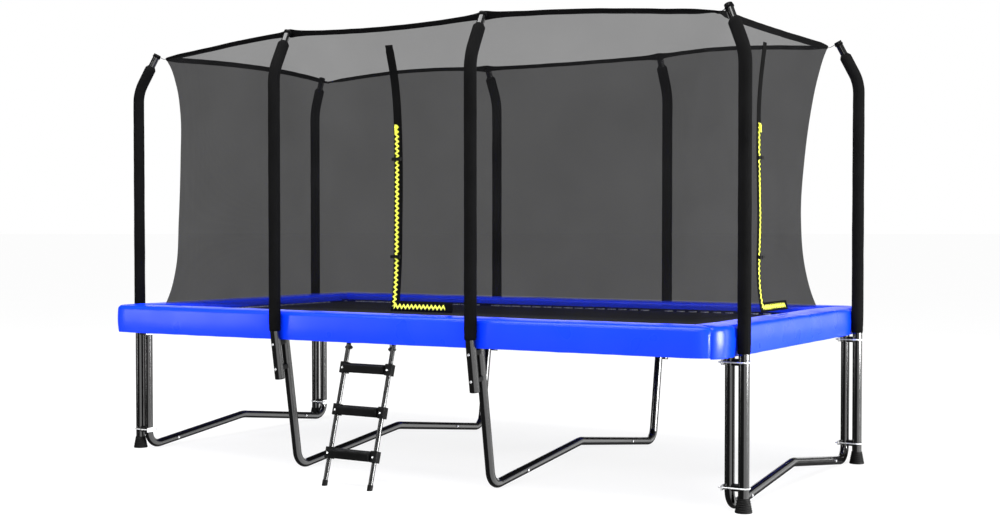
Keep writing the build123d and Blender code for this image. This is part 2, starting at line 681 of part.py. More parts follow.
def ladder_step(z):
    """A ribbed tread, hollow from below, whose ends wrap round both tubes."""
    centre, up = step_frame(z)
    length = LADDER_WIDTH - WRAP_SIZE[0] + 4
    tread = Box(length, STEP_DEPTH, STEP_THICK)
    tread = fillet(tread.edges().filter_by(Axis.X), 8)
    chamber = (length - 5 * STEP_WALL) / 4
    for k in range(4):
        x = (k - 1.5) * (chamber + STEP_WALL)
        tread -= Pos(x, 0, -STEP_WALL) * Box(chamber, STEP_DEPTH - 2 * STEP_WALL, STEP_THICK)
    tread = Pos(*centre) * tread
    for x in (-LADDER_WIDTH / 2, LADDER_WIDTH / 2):
        plane = Plane(origin=centre + Vector(x, 0, 0), x_dir=(1, 0, 0), z_dir=up)
        sleeve = fillet(Box(*WRAP_SIZE).edges().filter_by(Axis.Z), 9)
        tread += plane * sleeve
    for x in (-LADDER_WIDTH / 2, LADDER_WIDTH / 2):
        at = centre + Vector(x, 0, 0)
        tread -= rod(at - up * 80, at + up * 80, LADDER_TUBE + 0.3)
        tread -= screw_hole(z, x, 6.6)
    return tread


def screw_axis(z, x):
    """Where a step's screw enters, low on the front of the wrap, and its heading."""
    centre, up = step_frame(z)
    inward = Vector(0, up.Z, -up.Y)
    return centre + Vector(x, 0, 0) - up * SCREW_DROP - inward * (WRAP_SIZE[1] / 2), inward


def screw_hole(z, x, dia):
    at, inward = screw_axis(z, x)
    return rod(at - inward * 4, at + inward * 18, dia)


def ladder_screw(z, x):
    at, inward = screw_axis(z, x)
    head = rod(at - inward * (GAP + 4), at - inward * GAP, 12)
    return head + rod(at - inward * 2, at + inward * 15, 6)


def ladder_hook(x):
    """A bent bar from the pivot bolt up and over the top rail."""
    pivot_y, pivot_z = LADDER_PIVOT
    radius = RAIL_R + GAP + HOOK_WIRE / 2
    rail_y = -HALF_Y
    hook_x = math.copysign(HOOK_X, x)
    start = Vector(hook_x, pivot_y, pivot_z)
    beside = Vector(hook_x, rail_y - radius, HOOK_KNEE_Z)
    side = Vector(hook_x, rail_y - radius, RAIL_HEIGHT)
    over = Vector(hook_x, rail_y, RAIL_HEIGHT + radius)
    inside = Vector(hook_x, rail_y + radius, RAIL_HEIGHT)
    lower = start + (beside - start).normalized() * 8
    approach = FilletPolyline(lower, beside, side, radius=25)
    arc = ThreePointArc(side, over, inside)
    tip = Line(inside, inside - Vector(0, 0, 16))
    path = Wire([*approach.edges(), *arc.edges(), *tip.edges()])
    bar = sweep(Plane(origin=path @ 0, z_dir=path % 0) * Circle(HOOK_WIRE / 2), path=path)
    bar += collar(start, (1, 0, 0), 24, 2, HOOK_EYE)
    return bar - rod(start - Vector(20, 0, 0), start + Vector(20, 0, 0), BOLT_DIA + 0.3)


def ladder_pivot_bolt(x):
    """Bolt with its nut end inside the ladder, along X through tube and hook."""
    pivot = Vector(x, *LADDER_PIVOT)
    out = Vector(math.copysign(1, x), 0, 0)
    outside = pivot + out * (LADDER_TUBE / 2 + GAP)
    inside = pivot - out * (LADDER_TUBE / 2 + GAP + HOOK_EYE + GAP)
    bolt = hexagon(outside, out, HEAD_FLATS, HEAD_HEIGHT)
    bolt += rod(outside, inside - out * (NUT_HEIGHT + 3), BOLT_DIA)
    return bolt, hexagon(inside, out * -1, NUT_FLATS, NUT_HEIGHT, BOLT_DIA + 0.3)


# ---- write every sub-part -----------------------------------------------------------
def write_rails():
    cutters = slots()
    corner = corner_rail()
    for name, side in CORNERS.items():
        save(f"corner_rail_{name}", cut_slots(at_corner(corner, side), cutters))
    for name, y in (("front", -HALF_Y), ("back", HALF_Y)):
        ends = [(s * (MID_LEG_X - 1), y, RAIL_HEIGHT) for s in (-1, 1)]
        rail = sweep_round(ends, None, RAIL_DIA, TUBE_WALL)
        save(f"long_rail_{name}", cut_slots(rail, cutters))
    short_rails = []
    for x in (-HALF_X, HALF_X):
        ends = [(x, s * (CORNER_LEG_Y - 1), RAIL_HEIGHT) for s in (-1, 1)]
        rail = sweep_round(ends, None, RAIL_DIA, TUBE_WALL)
        short_rails.append(cut_slots(rail, cutters))
    save("short_rails", *short_rails)


def write_legs_and_sockets():
    holes = [mid_bolt(rise)[3] for rise in POLE_BOLT_RISES]
    mid_socket = socket(MID_LEG_X, HALF_Y, Vector(1, 0, 0), LEAN)
    mid_leg = leg(MID_LEG_X, HALF_Y, LEAN)
    for hole in holes:
        mid_socket -= hole
        mid_leg -= hole
    corner_socket = socket(HALF_X, CORNER_LEG_Y, Vector(0, 1, 0), 0.0)
    corner_leg = leg(HALF_X, CORNER_LEG_Y, 0.0)
    save("corner_rail_sockets", *all_corners(corner_socket))
    save("mid_rail_sockets", *all_corners(mid_socket))
    for name, side in CORNERS.items():
        save(f"leg_{name}", at_corner(corner_leg, side))
        save(f"mid_leg_{name}", at_corner(mid_leg, side))
    end_z = leg_line(CORNER_LEG_Y, 0.0)[2]
    mid_z = leg_line(HALF_Y, LEAN)[2]
    save("end_base_bars", base_bar(-HALF_X, end_z), base_bar(HALF_X, end_z))
    save("mid_base_bars", base_bar(-MID_LEG_X, mid_z), base_bar(MID_LEG_X, mid_z))


def write_poles():
    corner_foot = Vector(CORNER_POLE_X, CORNER_LEG_Y, 0)
    mid_foot = Vector(MID_LEG_X, MID_POLE_Y, 0)
    mid_lower = mid_lower_pole()
    for rise in POLE_BOLT_RISES:
        mid_lower -= mid_bolt(rise)[3]
    save("corner_lower_poles", *all_corners(corner_lower_pole()))
    save("mid_lower_poles", *all_corners(mid_lower))
    corner = pole_set(corner_foot, CORNER_TOP_AIM, CORNER_POLE_TOP, CORNER_SLEEVE)
    mid = pole_set(mid_foot, Vector(0, -1, 0), MID_POLE_TOP, MID_SLEEVE)
    names = ("upper_poles", "pole_bushes", "pole_foam", "pole_sleeves", "pole_caps")
    for name, at_ends, at_middle in zip(names, corner, mid):
        save(name, *all_corners(at_ends), *all_corners(at_middle))
    save("rubber_feet", *all_corners(rubber_foot()))
    save("pole_end_plugs", *all_corners(end_plug()))


def write_fasteners():
    bolts, spacers, plates, nuts, through = [], [], [], [], []
    for z in CLAMP_HEIGHTS:
        bolt, spacer, plate, pair = corner_clamp(z)
        bolts += all_corners(bolt)
        spacers += all_corners(spacer)
        plates += all_corners(plate)
        for nut in pair:
            nuts += all_corners(nut)
    for rise in POLE_BOLT_RISES:
        bolt, spacer, nut, _ = mid_bolt(rise)
        through += all_corners(bolt)
        spacers += all_corners(spacer)
        nuts += all_corners(nut)
    for x, top_y, lean in ((HALF_X, CORNER_LEG_Y, 0.0), (MID_LEG_X, HALF_Y, LEAN)):
        bolt, nut = joint_bolt(x, leg_line(top_y, lean)[2])
        through += all_corners(bolt)
        nuts += all_corners(nut)
    save("clamp_u_bolts", *bolts)
    save("clamp_spacers", *spacers)
    save("clamp_plates", *plates)
    save("frame_bolts", *through)
    save("frame_nuts", *nuts)


def write_bed():
    coil, ring = spring(), v_ring()
    places = spring_places()
    on_rail = [Location(point) * Rot(0, 0, turn) for point, turn in places]
    save("springs", *[place * coil for place in on_rail])
    save("v_rings", *[place * ring for place in on_rail])
    save("jump_mat", mat())
    right, left, back, front = pad_sections(pad_frame())
    save("pad_right", right)
    save("pad_left", left)
    save("pad_back", back)
    save("pad_front", front)


def write_enclosure():
    back, right = long_net(), short_net()
    save("net_back", back)
    save("net_front", mirror(back, about=Plane.XZ))
    save("net_right", right)
    save("net_left", mirror(right, about=Plane.YZ))
    front_door = door_parts(LONG_WALL, MAT_Y - NET_INSET, 1)
    side_door = [
        [on_short_wall(s) for s in part] if isinstance(part, list) else on_short_wall(part)
        for part in door_parts(SHORT_WALL, MAT_X - NET_INSET, -1)
    ]
    save("zip_tapes", front_door[0], side_door[0])
    save("zip_slider_front", front_door[1])
    save("zip_slider_side", side_door[1])
    save("pull_tab_front", front_door[2])
    save("pull_tab_side", side_door[2])
    save("buckle_sockets", *front_door[3], *side_door[3])
    for door, parts in (("front", front_door[4]), ("side", side_door[4])):
        for level, plug in zip(("low", "high"), parts):
            save(f"buckle_plug_{door}_{level}", plug)


def save_ladder(node, *shapes):
    save(node, *[Pos(LADDER_X, 0, 0) * shape for shape in shapes])


def write_ladder():
    sides = (-LADDER_WIDTH / 2, LADDER_WIDTH / 2)
    save_ladder("ladder_rails", *[ladder_rail(x) for x in sides])
    save_ladder("ladder_foot_caps", *[ladder_foot_cap(x) for x in sides])
    save_ladder("ladder_steps", *[ladder_step(z) for z in STEP_HEIGHTS])
    save_ladder("ladder_screws", *[ladder_screw(z, x) for z in STEP_HEIGHTS for x in sides])
    save_ladder("ladder_hooks", *[ladder_hook(x) for x in sides])
    save_ladder("ladder_pivot_bolts", *[piece for x in sides for piece in ladder_pivot_bolt(x)])


os.makedirs("parts", exist_ok=True)
write_rails()
write_legs_and_sockets()
write_poles()
write_fasteners()
write_bed()
write_enclosure()
write_ladder()
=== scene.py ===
"""The looks of a rectangular garden trampoline with a safety net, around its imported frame.

All lengths are metres in the row frame: +X along the long side, +Y to the back, +Z up.
"""
import math

import bmesh
import bpy
import numpy as np
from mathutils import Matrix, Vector, noise


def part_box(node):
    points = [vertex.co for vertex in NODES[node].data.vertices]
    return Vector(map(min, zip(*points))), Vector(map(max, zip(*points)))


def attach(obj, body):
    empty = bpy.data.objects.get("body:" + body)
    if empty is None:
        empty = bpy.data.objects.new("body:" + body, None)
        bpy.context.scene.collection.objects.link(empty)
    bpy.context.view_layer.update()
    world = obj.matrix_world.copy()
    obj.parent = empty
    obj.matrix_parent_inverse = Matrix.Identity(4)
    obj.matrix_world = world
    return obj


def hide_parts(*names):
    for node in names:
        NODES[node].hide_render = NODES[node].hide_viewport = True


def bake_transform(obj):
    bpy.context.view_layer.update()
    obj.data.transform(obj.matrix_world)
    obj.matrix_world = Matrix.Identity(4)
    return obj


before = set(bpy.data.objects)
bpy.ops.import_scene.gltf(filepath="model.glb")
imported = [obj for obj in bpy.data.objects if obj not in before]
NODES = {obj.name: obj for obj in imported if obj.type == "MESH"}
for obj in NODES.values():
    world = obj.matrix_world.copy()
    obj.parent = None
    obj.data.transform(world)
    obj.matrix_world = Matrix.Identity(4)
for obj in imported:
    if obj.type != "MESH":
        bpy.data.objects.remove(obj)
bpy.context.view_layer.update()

SCENE = bpy.context.scene
CORNERS = ((-1, -1), (1, -1), (-1, 1), (1, 1))


def middle(box):
    return (box[0] + box[1]) / 2


# CENTRE_Y is the middle of the frame; plan sizes are half sizes, measured from there.
POLE_RADIUS, FOAM_RADIUS = 0.030, 0.036
MAT_LOW, MAT_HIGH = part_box("jump_mat")
CENTRE_Y = middle(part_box("jump_mat")).y
MAT_X, MAT_Y = (MAT_HIGH.x - MAT_LOW.x) / 2, (MAT_HIGH.y - MAT_LOW.y) / 2
MAT_Z = middle(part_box("jump_mat")).z
PAD_LOW, PAD_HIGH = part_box("pad_right")
PAD_X = PAD_HIGH.x
PAD_Y = CENTRE_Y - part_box("pad_front")[0].y
MID_LEG_X = middle(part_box("mid_leg_front_right")).x
CORNER_POLE = Vector((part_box("corner_lower_poles")[1].x - POLE_RADIUS, 0, 0))
CORNER_POLE.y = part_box("corner_lower_poles")[1].y - POLE_RADIUS - CENTRE_Y
MID_POLE_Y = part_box("pole_foam")[1].y - FOAM_RADIUS - CENTRE_Y
POLE_TOP_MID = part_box("upper_poles")[1].z
NET_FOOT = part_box("net_front")[0].z
NET_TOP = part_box("net_front")[1].z


# ---- camera ----
camera_data = bpy.data.cameras.new("camera")
camera_data.lens = 51.9
camera_data.sensor_width = 36.0
camera_data.shift_x = 0.0036
camera_data.shift_y = 0.0063
camera = bpy.data.objects.new("camera", camera_data)
camera.location = (5.121, -8.067, 1.494)
camera.rotation_euler = (math.radians(88.629), 0.0, math.radians(31.722))
SCENE.collection.objects.link(camera)
SCENE.camera = camera


# ---- meshes ----
def add_mesh(name, points, faces, material):
    mesh = bpy.data.meshes.new(name)
    mesh.from_pydata([tuple(p) for p in points], [], faces)
    mesh.update()
    mesh.materials.append(material)
    for face in mesh.polygons:
        face.use_smooth = True
    obj = bpy.data.objects.new(name, mesh)
    SCENE.collection.objects.link(obj)
    return obj


def grid_faces(rows, columns, around=False, start=0):
    """Quads between rows of points; around joins each row's end to its start."""
    faces = []
    for r in range(rows - 1):
        for c in range(columns if around else columns - 1):
            a, b = r * columns + c, r * columns + (c + 1) % columns
            faces.append((start + a, start + b, start + b + columns, start + a + columns))
    return faces


def add_grid(name, grid, material, around=False, capped=False):
    """A surface through a rows x columns array of points."""
    return joined(name, [(grid, around, capped)], material)


def face_outwards(obj, merge=False):
    """Points every face outwards, once points that coincide are merged if asked."""
    work = bmesh.new()
    work.from_mesh(obj.data)
    if merge:
        bmesh.ops.remove_doubles(work, verts=work.verts, dist=1e-6)
    bmesh.ops.recalc_face_normals(work, faces=work.faces)
    work.to_mesh(obj.data)
    work.free()


def frames_along(path, up=Vector((0, 0, 1))):
    """(point, side, lift) at each point of a path, turning as little as possible."""
    made = []
    side = None
    for i, point in enumerate(path):
        ahead = path[min(i + 1, len(path) - 1)] - path[max(i - 1, 0)]
        ahead.normalize()
        if side is None:
            side = ahead.cross(up)
            if side.length < 1e-3:
                side = ahead.cross(Vector((1, 0, 0)))
        side = (side - ahead * side.dot(ahead)).normalized()
        made.append((point, side, ahead.cross(side)))
    return made


def swept(path, section, up=Vector((0, 0, 1))):
    """Rows of points of a closed section, (side, lift) pairs, carried along a path."""
    rows = []
    for i, (point, side, lift) in enumerate(frames_along(path, up)):
        shape = section(i / (len(path) - 1)) if callable(section) else section
        rows.append([point + side * a + lift * b for a, b in shape])
    return rows


def ring_section(radius, count, squash=1.0):
    turn = [2 * math.pi * k / count for k in range(count)]
    return [(radius * math.cos(a), radius * squash * math.sin(a)) for a in turn]


def slab_section(width, thick, bow=0.0):
    """A flat strap's section with rounded edges."""
    w, t, e = width / 2, thick / 2, min(thick * 0.5, width * 0.2)
    half = [(-w, 0), (-w + e, t), (-w / 2, t + bow), (0, t + bow), (w / 2, t + bow), (w - e, t)]
    return half + [(w, 0), (w - e, -t), (w / 2, -t), (0, -t), (-w / 2, -t), (-w + e, -t)]


def joined(name, parts, material):
    """One mesh from several (rows, around, capped) grids."""
    points, faces = [], []
    for grid, around, capped in parts:
        rows, columns, start = len(grid), len(grid[0]), len(points)
        faces += grid_faces(rows, columns, around, start)
        if capped:
            faces.append(tuple(start + c for c in reversed(range(columns))))
            faces.append(tuple(start + (rows - 1) * columns + c for c in range(columns)))
        points += [p for row in grid for p in row]
    return add_mesh(name, points, faces, material)


def curve_through(*knots):
    """A smooth function of z through (z, value) knots."""
    zs, values = (np.array(v, float) for v in zip(*knots))
    slopes = np.gradient(values, zs)

    def at(z):
        i = int(np.clip(np.searchsorted(zs, z) - 1, 0, len(zs) - 2))
        h = zs[i + 1] - zs[i]
        t = min(max((z - zs[i]) / h, 0.0), 1.0)
        return hermite(values[i], values[i + 1], slopes[i] * h, slopes[i + 1] * h, t)

    return at


def hermite(a, b, slope_a, slope_b, t):
    rise, turn = t * t * (3 - 2 * t), t * (1 - t)
    return a + (b - a) * rise + slope_a * turn * (1 - t) - slope_b * turn * t


def ease(t):
    t = min(max(t, 0.0), 1.0)
    return t * t * (3 - 2 * t)


def solids_of(node):
    """The separate solids of a CAD node, as arrays of points."""
    work = bmesh.new()
    work.from_mesh(NODES[node].data)
    bmesh.ops.remove_doubles(work, verts=work.verts, dist=1e-5)
    work.verts.ensure_lookup_table()
    seen, groups = set(), []
    for first in work.verts:
        if first.index in seen:
            continue
        seen.add(first.index)
        queue, group = [first], []
        while queue:
            vert = queue.pop()
            group.append(tuple(vert.co))
            for edge in vert.link_edges:
                other = edge.other_vert(vert)
                if other.index not in seen:
                    seen.add(other.index)
                    queue.append(other)
        groups.append(np.array(group))
    work.free()
    return groups


# ---- materials ----
class Look:
    """A Principled material and short ways to give it detail."""

    def __init__(self, name, color, roughness, metallic=0.0, **sockets):
        self.material = bpy.data.materials.new(name)
        self.material.use_nodes = True
        self.tree = self.material.node_tree
        self.shader = self.tree.nodes["Principled BSDF"]
        self.set(self.shader, "Base Color", (*color, 1.0))
        self.set(self.shader, "Roughness", roughness)
        self.set(self.shader, "Metallic", metallic)
        for socket, value in sockets.items():
            self.set(self.shader, socket.replace("_", " "), value)
        self.place = self.add("TexCoord").outputs["Object"]
        split = self.add("SeparateXYZ", Vector=self.place)
        self.x, self.y, self.z = split.outputs

    def set(self, node, key, value):
        if isinstance(value, bpy.types.NodeSocket):
            self.tree.links.new(value, node.inputs[key])
        else:
            node.inputs[key].default_value = value

    def add(self, kind, settings=None, **inputs):
        node = self.tree.nodes.new("ShaderNode" + kind)
        for key, value in (settings or {}).items():
            setattr(node, key, value)
        for key, value in inputs.items():
            self.set(node, int(key[1:]) if key[0] == "i" and key[1:].isdigit() else key, value)
        return node

    def math(self, operation, a, b=0.0, c=0.0):
        node = self.add("Math", {"operation": operation}, i0=a, i1=b, i2=c)
        return node.outputs[0]

    def noise(self, scale, detail=3.0, stretch=(1, 1, 1)):
        place = self.place
        if tuple(stretch) != (1, 1, 1):
            place = self.add("Mapping", Vector=place, Scale=stretch).outputs[0]
        return self.add("TexNoise", Vector=place, Scale=scale, Detail=detail).outputs[0]

    def fit(self, value, low, high, to_low, to_high):
        """A value mapped from one range to another and held inside it."""
        node = self.add("MapRange", i0=value, i1=low, i2=high, i3=to_low, i4=to_high)
        return node.outputs[0]

    def tint(self, value, dark, light):
        ramp = self.add("ValToRGB", Fac=value)
        for end, place, color in zip(ramp.color_ramp.elements, (0.3, 0.7), (dark, light)):
            end.position = place
            end.color = (*color, 1)
        return ramp.outputs[0]

    def mix(self, share, a, b):
        node = self.add("Mix", {"data_type": "RGBA"})
        self.set(node, 0, share)
        self.set(node, 6, a if isinstance(a, bpy.types.NodeSocket) else (*a, 1))
        self.set(node, 7, b if isinstance(b, bpy.types.NodeSocket) else (*b, 1))
        return node.outputs[2]

    def color(self, value):
        self.set(self.shader, "Base Color", value)

    def rough(self, value, low, high):
        self.set(self.shader, "Roughness", self.fit(value, 0.3, 0.7, low, high))

    def bump(self, height, distance, strength=1.0, under=None):
        node = self.add("Bump", Height=height, Distance=distance, Strength=strength)
        if under is not None:
            self.set(node, "Normal", under)
        self.set(self.shader, "Normal", node.outputs[0])
        return node.outputs[0]

    def wave(self, place, pitch):
        """A sine of a coordinate, one turn a pitch."""
        return self.math("SINE", self.math("MULTIPLY", place, 2 * math.pi / pitch))


def painted(name, color, roughness, coat):
    """Powder-coated tube: fine orange peel, a little dust and rubbed patches."""
    look = Look(name, color, roughness, Coat_Weight=coat, Coat_Roughness=0.08)
    patches = look.noise(3.0, 5.0)
    light = tuple(c * 1.5 + 0.0005 for c in color)
    look.color(look.tint(patches, color, light))
    look.rough(look.noise(9.0, 4.0), roughness * 0.8, roughness * 1.35)
    look.bump(look.noise(220.0, 2.0), 0.00008, 0.5)
    return look.material


def woven(name, dark, light, pitch, folds=0.0):
    """Plain-woven cloth that stands upright; folds is how deep its soft folds are."""
    look = Look(name, dark, 0.85, Specular_IOR_Level=0.04)
    along = look.math("ADD", look.x, look.y)
    warp = look.math("ABSOLUTE", look.wave(along, pitch))
    weft = look.math("ABSOLUTE", look.wave(look.z, pitch))
    over = look.math("GREATER_THAN", look.math(
        "MULTIPLY", look.wave(along, pitch * 2), look.wave(look.z, pitch * 2)), 0.0)
    height = look.add("Mix", {"data_type": "FLOAT"}, i0=over, i2=warp, i3=weft).outputs[0]
    base = look.tint(look.noise(6.0, 4.0), dark, light)
    gaps = tuple(c * 0.35 for c in dark)
    look.color(look.mix(look.fit(height, 0.0, 1.0, 0.0, 0.45), base, gaps))
    wrinkles = None
    if folds:
        wrinkles = look.bump(look.noise(11.0, 3.0, (1, 1, 0.35)), folds, 0.8)
    look.bump(height, pitch * 0.3, 0.5, wrinkles)
    return look.material


def moulded(name, color, roughness, grain=420.0):
    """Moulded plastic or rubber with a fine grain and scuffs."""
    look = Look(name, color, roughness, Specular_IOR_Level=0.12)
    light = tuple(c * 1.6 + 0.001 for c in color)
    look.color(look.tint(look.noise(14.0, 5.0), color, light))
    look.rough(look.noise(22.0, 4.0), roughness * 0.85, min(roughness * 1.3, 1.0))
    look.bump(look.noise(grain, 3.0), 0.0006, 0.45)
    return look.material


def plated(name, color, roughness):
    """Zinc-plated steel: fine brushing and cloudy patches."""
    look = Look(name, color, roughness, metallic=0.6)
    dark = tuple(c * 0.80 for c in color)
    look.color(look.tint(look.noise(30.0, 4.0), dark, color))
    look.rough(look.noise(60.0, 3.0), roughness * 0.8, roughness * 1.4)
    look.bump(look.noise(300.0, 2.0, (1, 1, 6)), 0.0003, 0.3)
    return look.material


def vinyl():
    """Blue PVC cloth of the pads: its scrim showing through, and soft creases."""
    deep, bright = (0.0011, 0.034, 0.94), (0.0014, 0.038, 1.0)
    look = Look("pad_vinyl", bright, 0.28, Specular_IOR_Level=0.22)
    look.rough(look.noise(5.0, 1.5), 0.26, 0.33)
    look.bump(look.noise(5.5, 1.5), 0.004, 0.10)
    scrim = look.math("MULTIPLY", look.wave(look.math("ADD", look.x, look.y), 0.0022),
                      look.wave(look.math("ADD", look.z, look.math(
                          "SUBTRACT", look.x, look.y)), 0.0022))
    look.color(look.mix(look.fit(scrim, 0.0, 1.0, 0.0, 0.3),
                        look.tint(look.noise(2.2, 1.5), deep, bright), (0.0012, 0.030, 0.82)))
    return look.material


def netting():
    """Knitted polyester net: dark threads, see-through between, more open near its foot."""
    look = Look("net_mesh", (0.0035, 0.0035, 0.0038), 0.9, Specular_IOR_Level=0.0)
    pitch = 0.0042
    around = look.math("ADD", look.x, look.y)
    upright = look.math("ABSOLUTE", look.wave(around, pitch * 2))
    level = look.math("ABSOLUTE", look.wave(look.z, pitch * 2))
    threads = look.math("MAXIMUM", look.fit(upright, 0.35, 0.60, 1.0, 0.0),
                        look.fit(level, 0.35, 0.60, 1.0, 0.0))
    cloud = look.fit(look.noise(1.6, 3.0), 0.3, 0.7, -0.015, 0.015)
    hem = look.fit(look.z, NET_FOOT + 0.008, NET_FOOT + 0.010, 1.0, 0.0)
    open_foot = look.fit(look.z, NET_FOOT + 0.055, NET_FOOT + 0.075, 0.3, 1.0)
    alpha = look.math("ADD", look.fit(threads, 0.0, 1.0, 0.645, 0.790), cloud)
    alpha = look.math("MULTIPLY", alpha, open_foot)
    look.set(look.shader, "Alpha", look.math("MAXIMUM", alpha, look.math("MULTIPLY", hem, 0.97)))
    look.color(look.tint(look.noise(4.0, 3.0), (0.0042, 0.0042, 0.0045), (0.0072, 0.0072, 0.0077)))
    look.bump(threads, 0.0004, 0.3)
    return look.material


def mat_cloth():
    """Black jumping mat: ribbed weave and rows of stitching along its edges."""
    look = Look("mat_cloth", (0.010, 0.010, 0.0105), 0.7, Specular_IOR_Level=0.15)
    pitch = 0.004
    warp = look.math("ABSOLUTE", look.wave(look.x, pitch * 2))
    weft = look.math("ABSOLUTE", look.wave(look.y, pitch * 2))
    height = look.math("MULTIPLY", warp, weft)
    edge_x = look.math("SUBTRACT", MAT_X, look.math("ABSOLUTE", look.x))
    edge_y = look.math("SUBTRACT", MAT_Y, look.math(
        "ABSOLUTE", look.math("SUBTRACT", look.y, CENTRE_Y)))
    edge = look.math("MINIMUM", edge_x, edge_y)
    base = look.tint(look.noise(1.8, 5.0), (0.0042, 0.0042, 0.0044), (0.0070, 0.0068, 0.0070))
    rows = None
    for inset in (0.008, 0.030, 0.046):
        line = look.math("LESS_THAN", look.math(
            "ABSOLUTE", look.math("SUBTRACT", edge, inset)), 0.0012)
        rows = line if rows is None else look.math("MAXIMUM", rows, line)
    dashes = look.math("GREATER_THAN", look.wave(look.math("ADD", look.x, look.y), 0.007), -0.4)
    stitches = look.math("MULTIPLY", rows, dashes)
    look.color(look.mix(stitches, base, (0.011, 0.011, 0.0115)))
    band = look.math("LESS_THAN", edge, 0.054)
    look.bump(look.math("ADD", height, look.math("ADD", stitches, band)), 0.0009, 0.5)
    return look.material


LOOKS = {
    "frame_paint": painted("frame_paint", (0.0014, 0.0014, 0.0015), 0.16, 0.4),
    "pole_paint": painted("pole_paint", (0.0014, 0.0014, 0.0015), 0.16, 0.4),
    "ladder_paint": painted("ladder_paint", (0.004, 0.004, 0.0042), 0.22, 0.5),
    "step_plastic": moulded("step_plastic", (0.0009, 0.0009, 0.0010), 0.5),
    "black_plastic": moulded("black_plastic", (0.0018, 0.0018, 0.0018), 0.45),
    "rubber": moulded("rubber", (0.0022, 0.0022, 0.0022), 0.55, 260.0),
    "foam": moulded("foam", (0.02, 0.02, 0.02), 0.9, 200.0),
    "sleeve_cloth": woven("sleeve_cloth", (0.0030, 0.0030, 0.0031), (0.0048, 0.0048, 0.0050),
                          0.0016, folds=0.004),
    "zinc_steel": plated("zinc_steel", (0.90, 0.905, 0.91), 0.30),
    "spring_steel": plated("spring_steel", (0.62, 0.63, 0.64), 0.24),
    "mat_cloth": mat_cloth(),
    "pad_vinyl": vinyl(),
    "net_mesh": netting(),
    "zip_tape": woven("zip_tape", (0.0022, 0.0022, 0.0022), (0.0040, 0.0040, 0.0040), 0.0012),
    "zip_metal": painted("zip_metal", (0.80, 0.86, 0.045), 0.35, 0.3),
    "buckle_plastic": moulded("buckle_plastic", (0.0008, 0.0008, 0.0008), 0.5),
    "webbing": woven("webbing", (0.0016, 0.0016, 0.0017), (0.0032, 0.0032, 0.0034), 0.0024),
}


def yellow_stitch():
    look = Look("zip_stitch", (0.84, 0.90, 0.056), 0.55)
    look.color(look.tint(look.noise(60.0, 3.0), (0.74, 0.80, 0.03), (0.88, 0.92, 0.07)))
    ribs = look.wave(look.math("ADD", look.z, look.math("ADD", look.x, look.y)), 0.0016)
    look.bump(ribs, 0.0004, 0.5)
    return look.material


YELLOW = yellow_stitch()


# ---- safety net ----
LEFT_CORNER_X = curve_through(
    (0.946, 1.966), (1.10, 1.928), (1.25, 1.914), (1.58, 1.898), (2.0, 1.890),
    (2.31, 1.898), (2.50, 1.938), (2.64, 2.008), (2.69, 2.050))
RIGHT_CORNER_X = curve_through(
    (0.946, 1.964), (1.10, 1.915), (1.25, 1.887), (1.57, 1.861), (1.96, 1.888),
    (2.28, 1.934), (2.50, 1.983), (2.65, 2.035), (2.69, 2.055))
CORNER_Y = curve_through(
    (0.946, 1.040), (1.10, 0.990), (1.25, 0.955), (1.58, 0.940), (2.0, 0.930),
    (2.30, 0.925), (2.50, 0.920), (2.69, 0.905))
LONG_MIDDLE = curve_through(
    (0.946, 1.040), (1.10, 1.020), (1.60, 1.0086), (2.10, 0.9972), (2.25, 0.9990),
    (2.40, 1.0150), (2.55, 1.0500), (2.69, 1.0850))
POLE_LINE = curve_through(
    (0.946, 1.040), (1.10, 1.026), (1.60, 1.017), (2.10, 1.022), (2.35, 1.045),
    (2.55, 1.090), (2.69, 1.148))
SHORT_MIDDLE = curve_through(
    (0.946, 1.964), (1.10, 1.933), (1.60, 1.9249), (2.10, 1.9168), (2.25, 1.9190),
    (2.40, 1.9300), (2.55, 1.9480), (2.69, 1.9640))
SPAN_BOW = curve_through(
    (0.946, 0.0), (1.10, 0.008), (1.60, 0.012), (2.10, 0.020), (2.40, 0.042), (2.69, 0.072))
BAND_OUTER_Z = curve_through(
    (0.718, 2.731), (1.12, 2.735), (1.36, 2.728), (1.60, 2.713), (1.83, 2.695), (2.08, 2.676))
NET_LIFT = 0.0025         # the cloth's middle, out from the inside of the CAD wall
BAND_END_X, BAND_END_Y = 2.05, 0.905      # the band's corners
LONG_COLUMNS, SHORT_COLUMNS, NET_ROWS = 168, 84, 72


def long_wall(x, z, corner_x):
    """How far the front or back wall stands from the middle at x."""
    pole, corner = POLE_LINE(z), CORNER_Y(z)
    reach = abs(x)
    inner = 2 * (pole - LONG_MIDDLE(z)) / MID_LEG_X
    length = corner_x - MID_LEG_X
    chord = (corner - pole) / length
    bow = 4 * SPAN_BOW(z) / length
    cusp = ease((z - 1.9) / 0.75)
    mean = (inner + chord - bow) / 2
    before = mean + (inner - mean) * cusp
    after = mean + (chord - bow - mean) * cusp
    if reach < MID_LEG_X:
        t = reach / MID_LEG_X
        return hermite(LONG_MIDDLE(z), pole, 0.0, before * MID_LEG_X, t)
    t = (reach - MID_LEG_X) / length
    return hermite(pole, corner, after * length, (chord + bow) * length, t)


def short_wall(y, z, corner_x):
    """How far a short wall stands from the middle at y."""
    share = y / CORNER_Y(z)
    return SHORT_MIDDLE(z) + (corner_x - SHORT_MIDDLE(z)) * share * share


def band_height(x, y, on_long):
    """Height of the band's middle line."""
    if on_long:
        if abs(x) > MID_LEG_X:
            return BAND_OUTER_Z(abs(x))
        return 2.716 + 0.015 * (x / MID_LEG_X) ** 2
    return 2.700 - 0.024 * (y / BAND_END_Y) ** 2


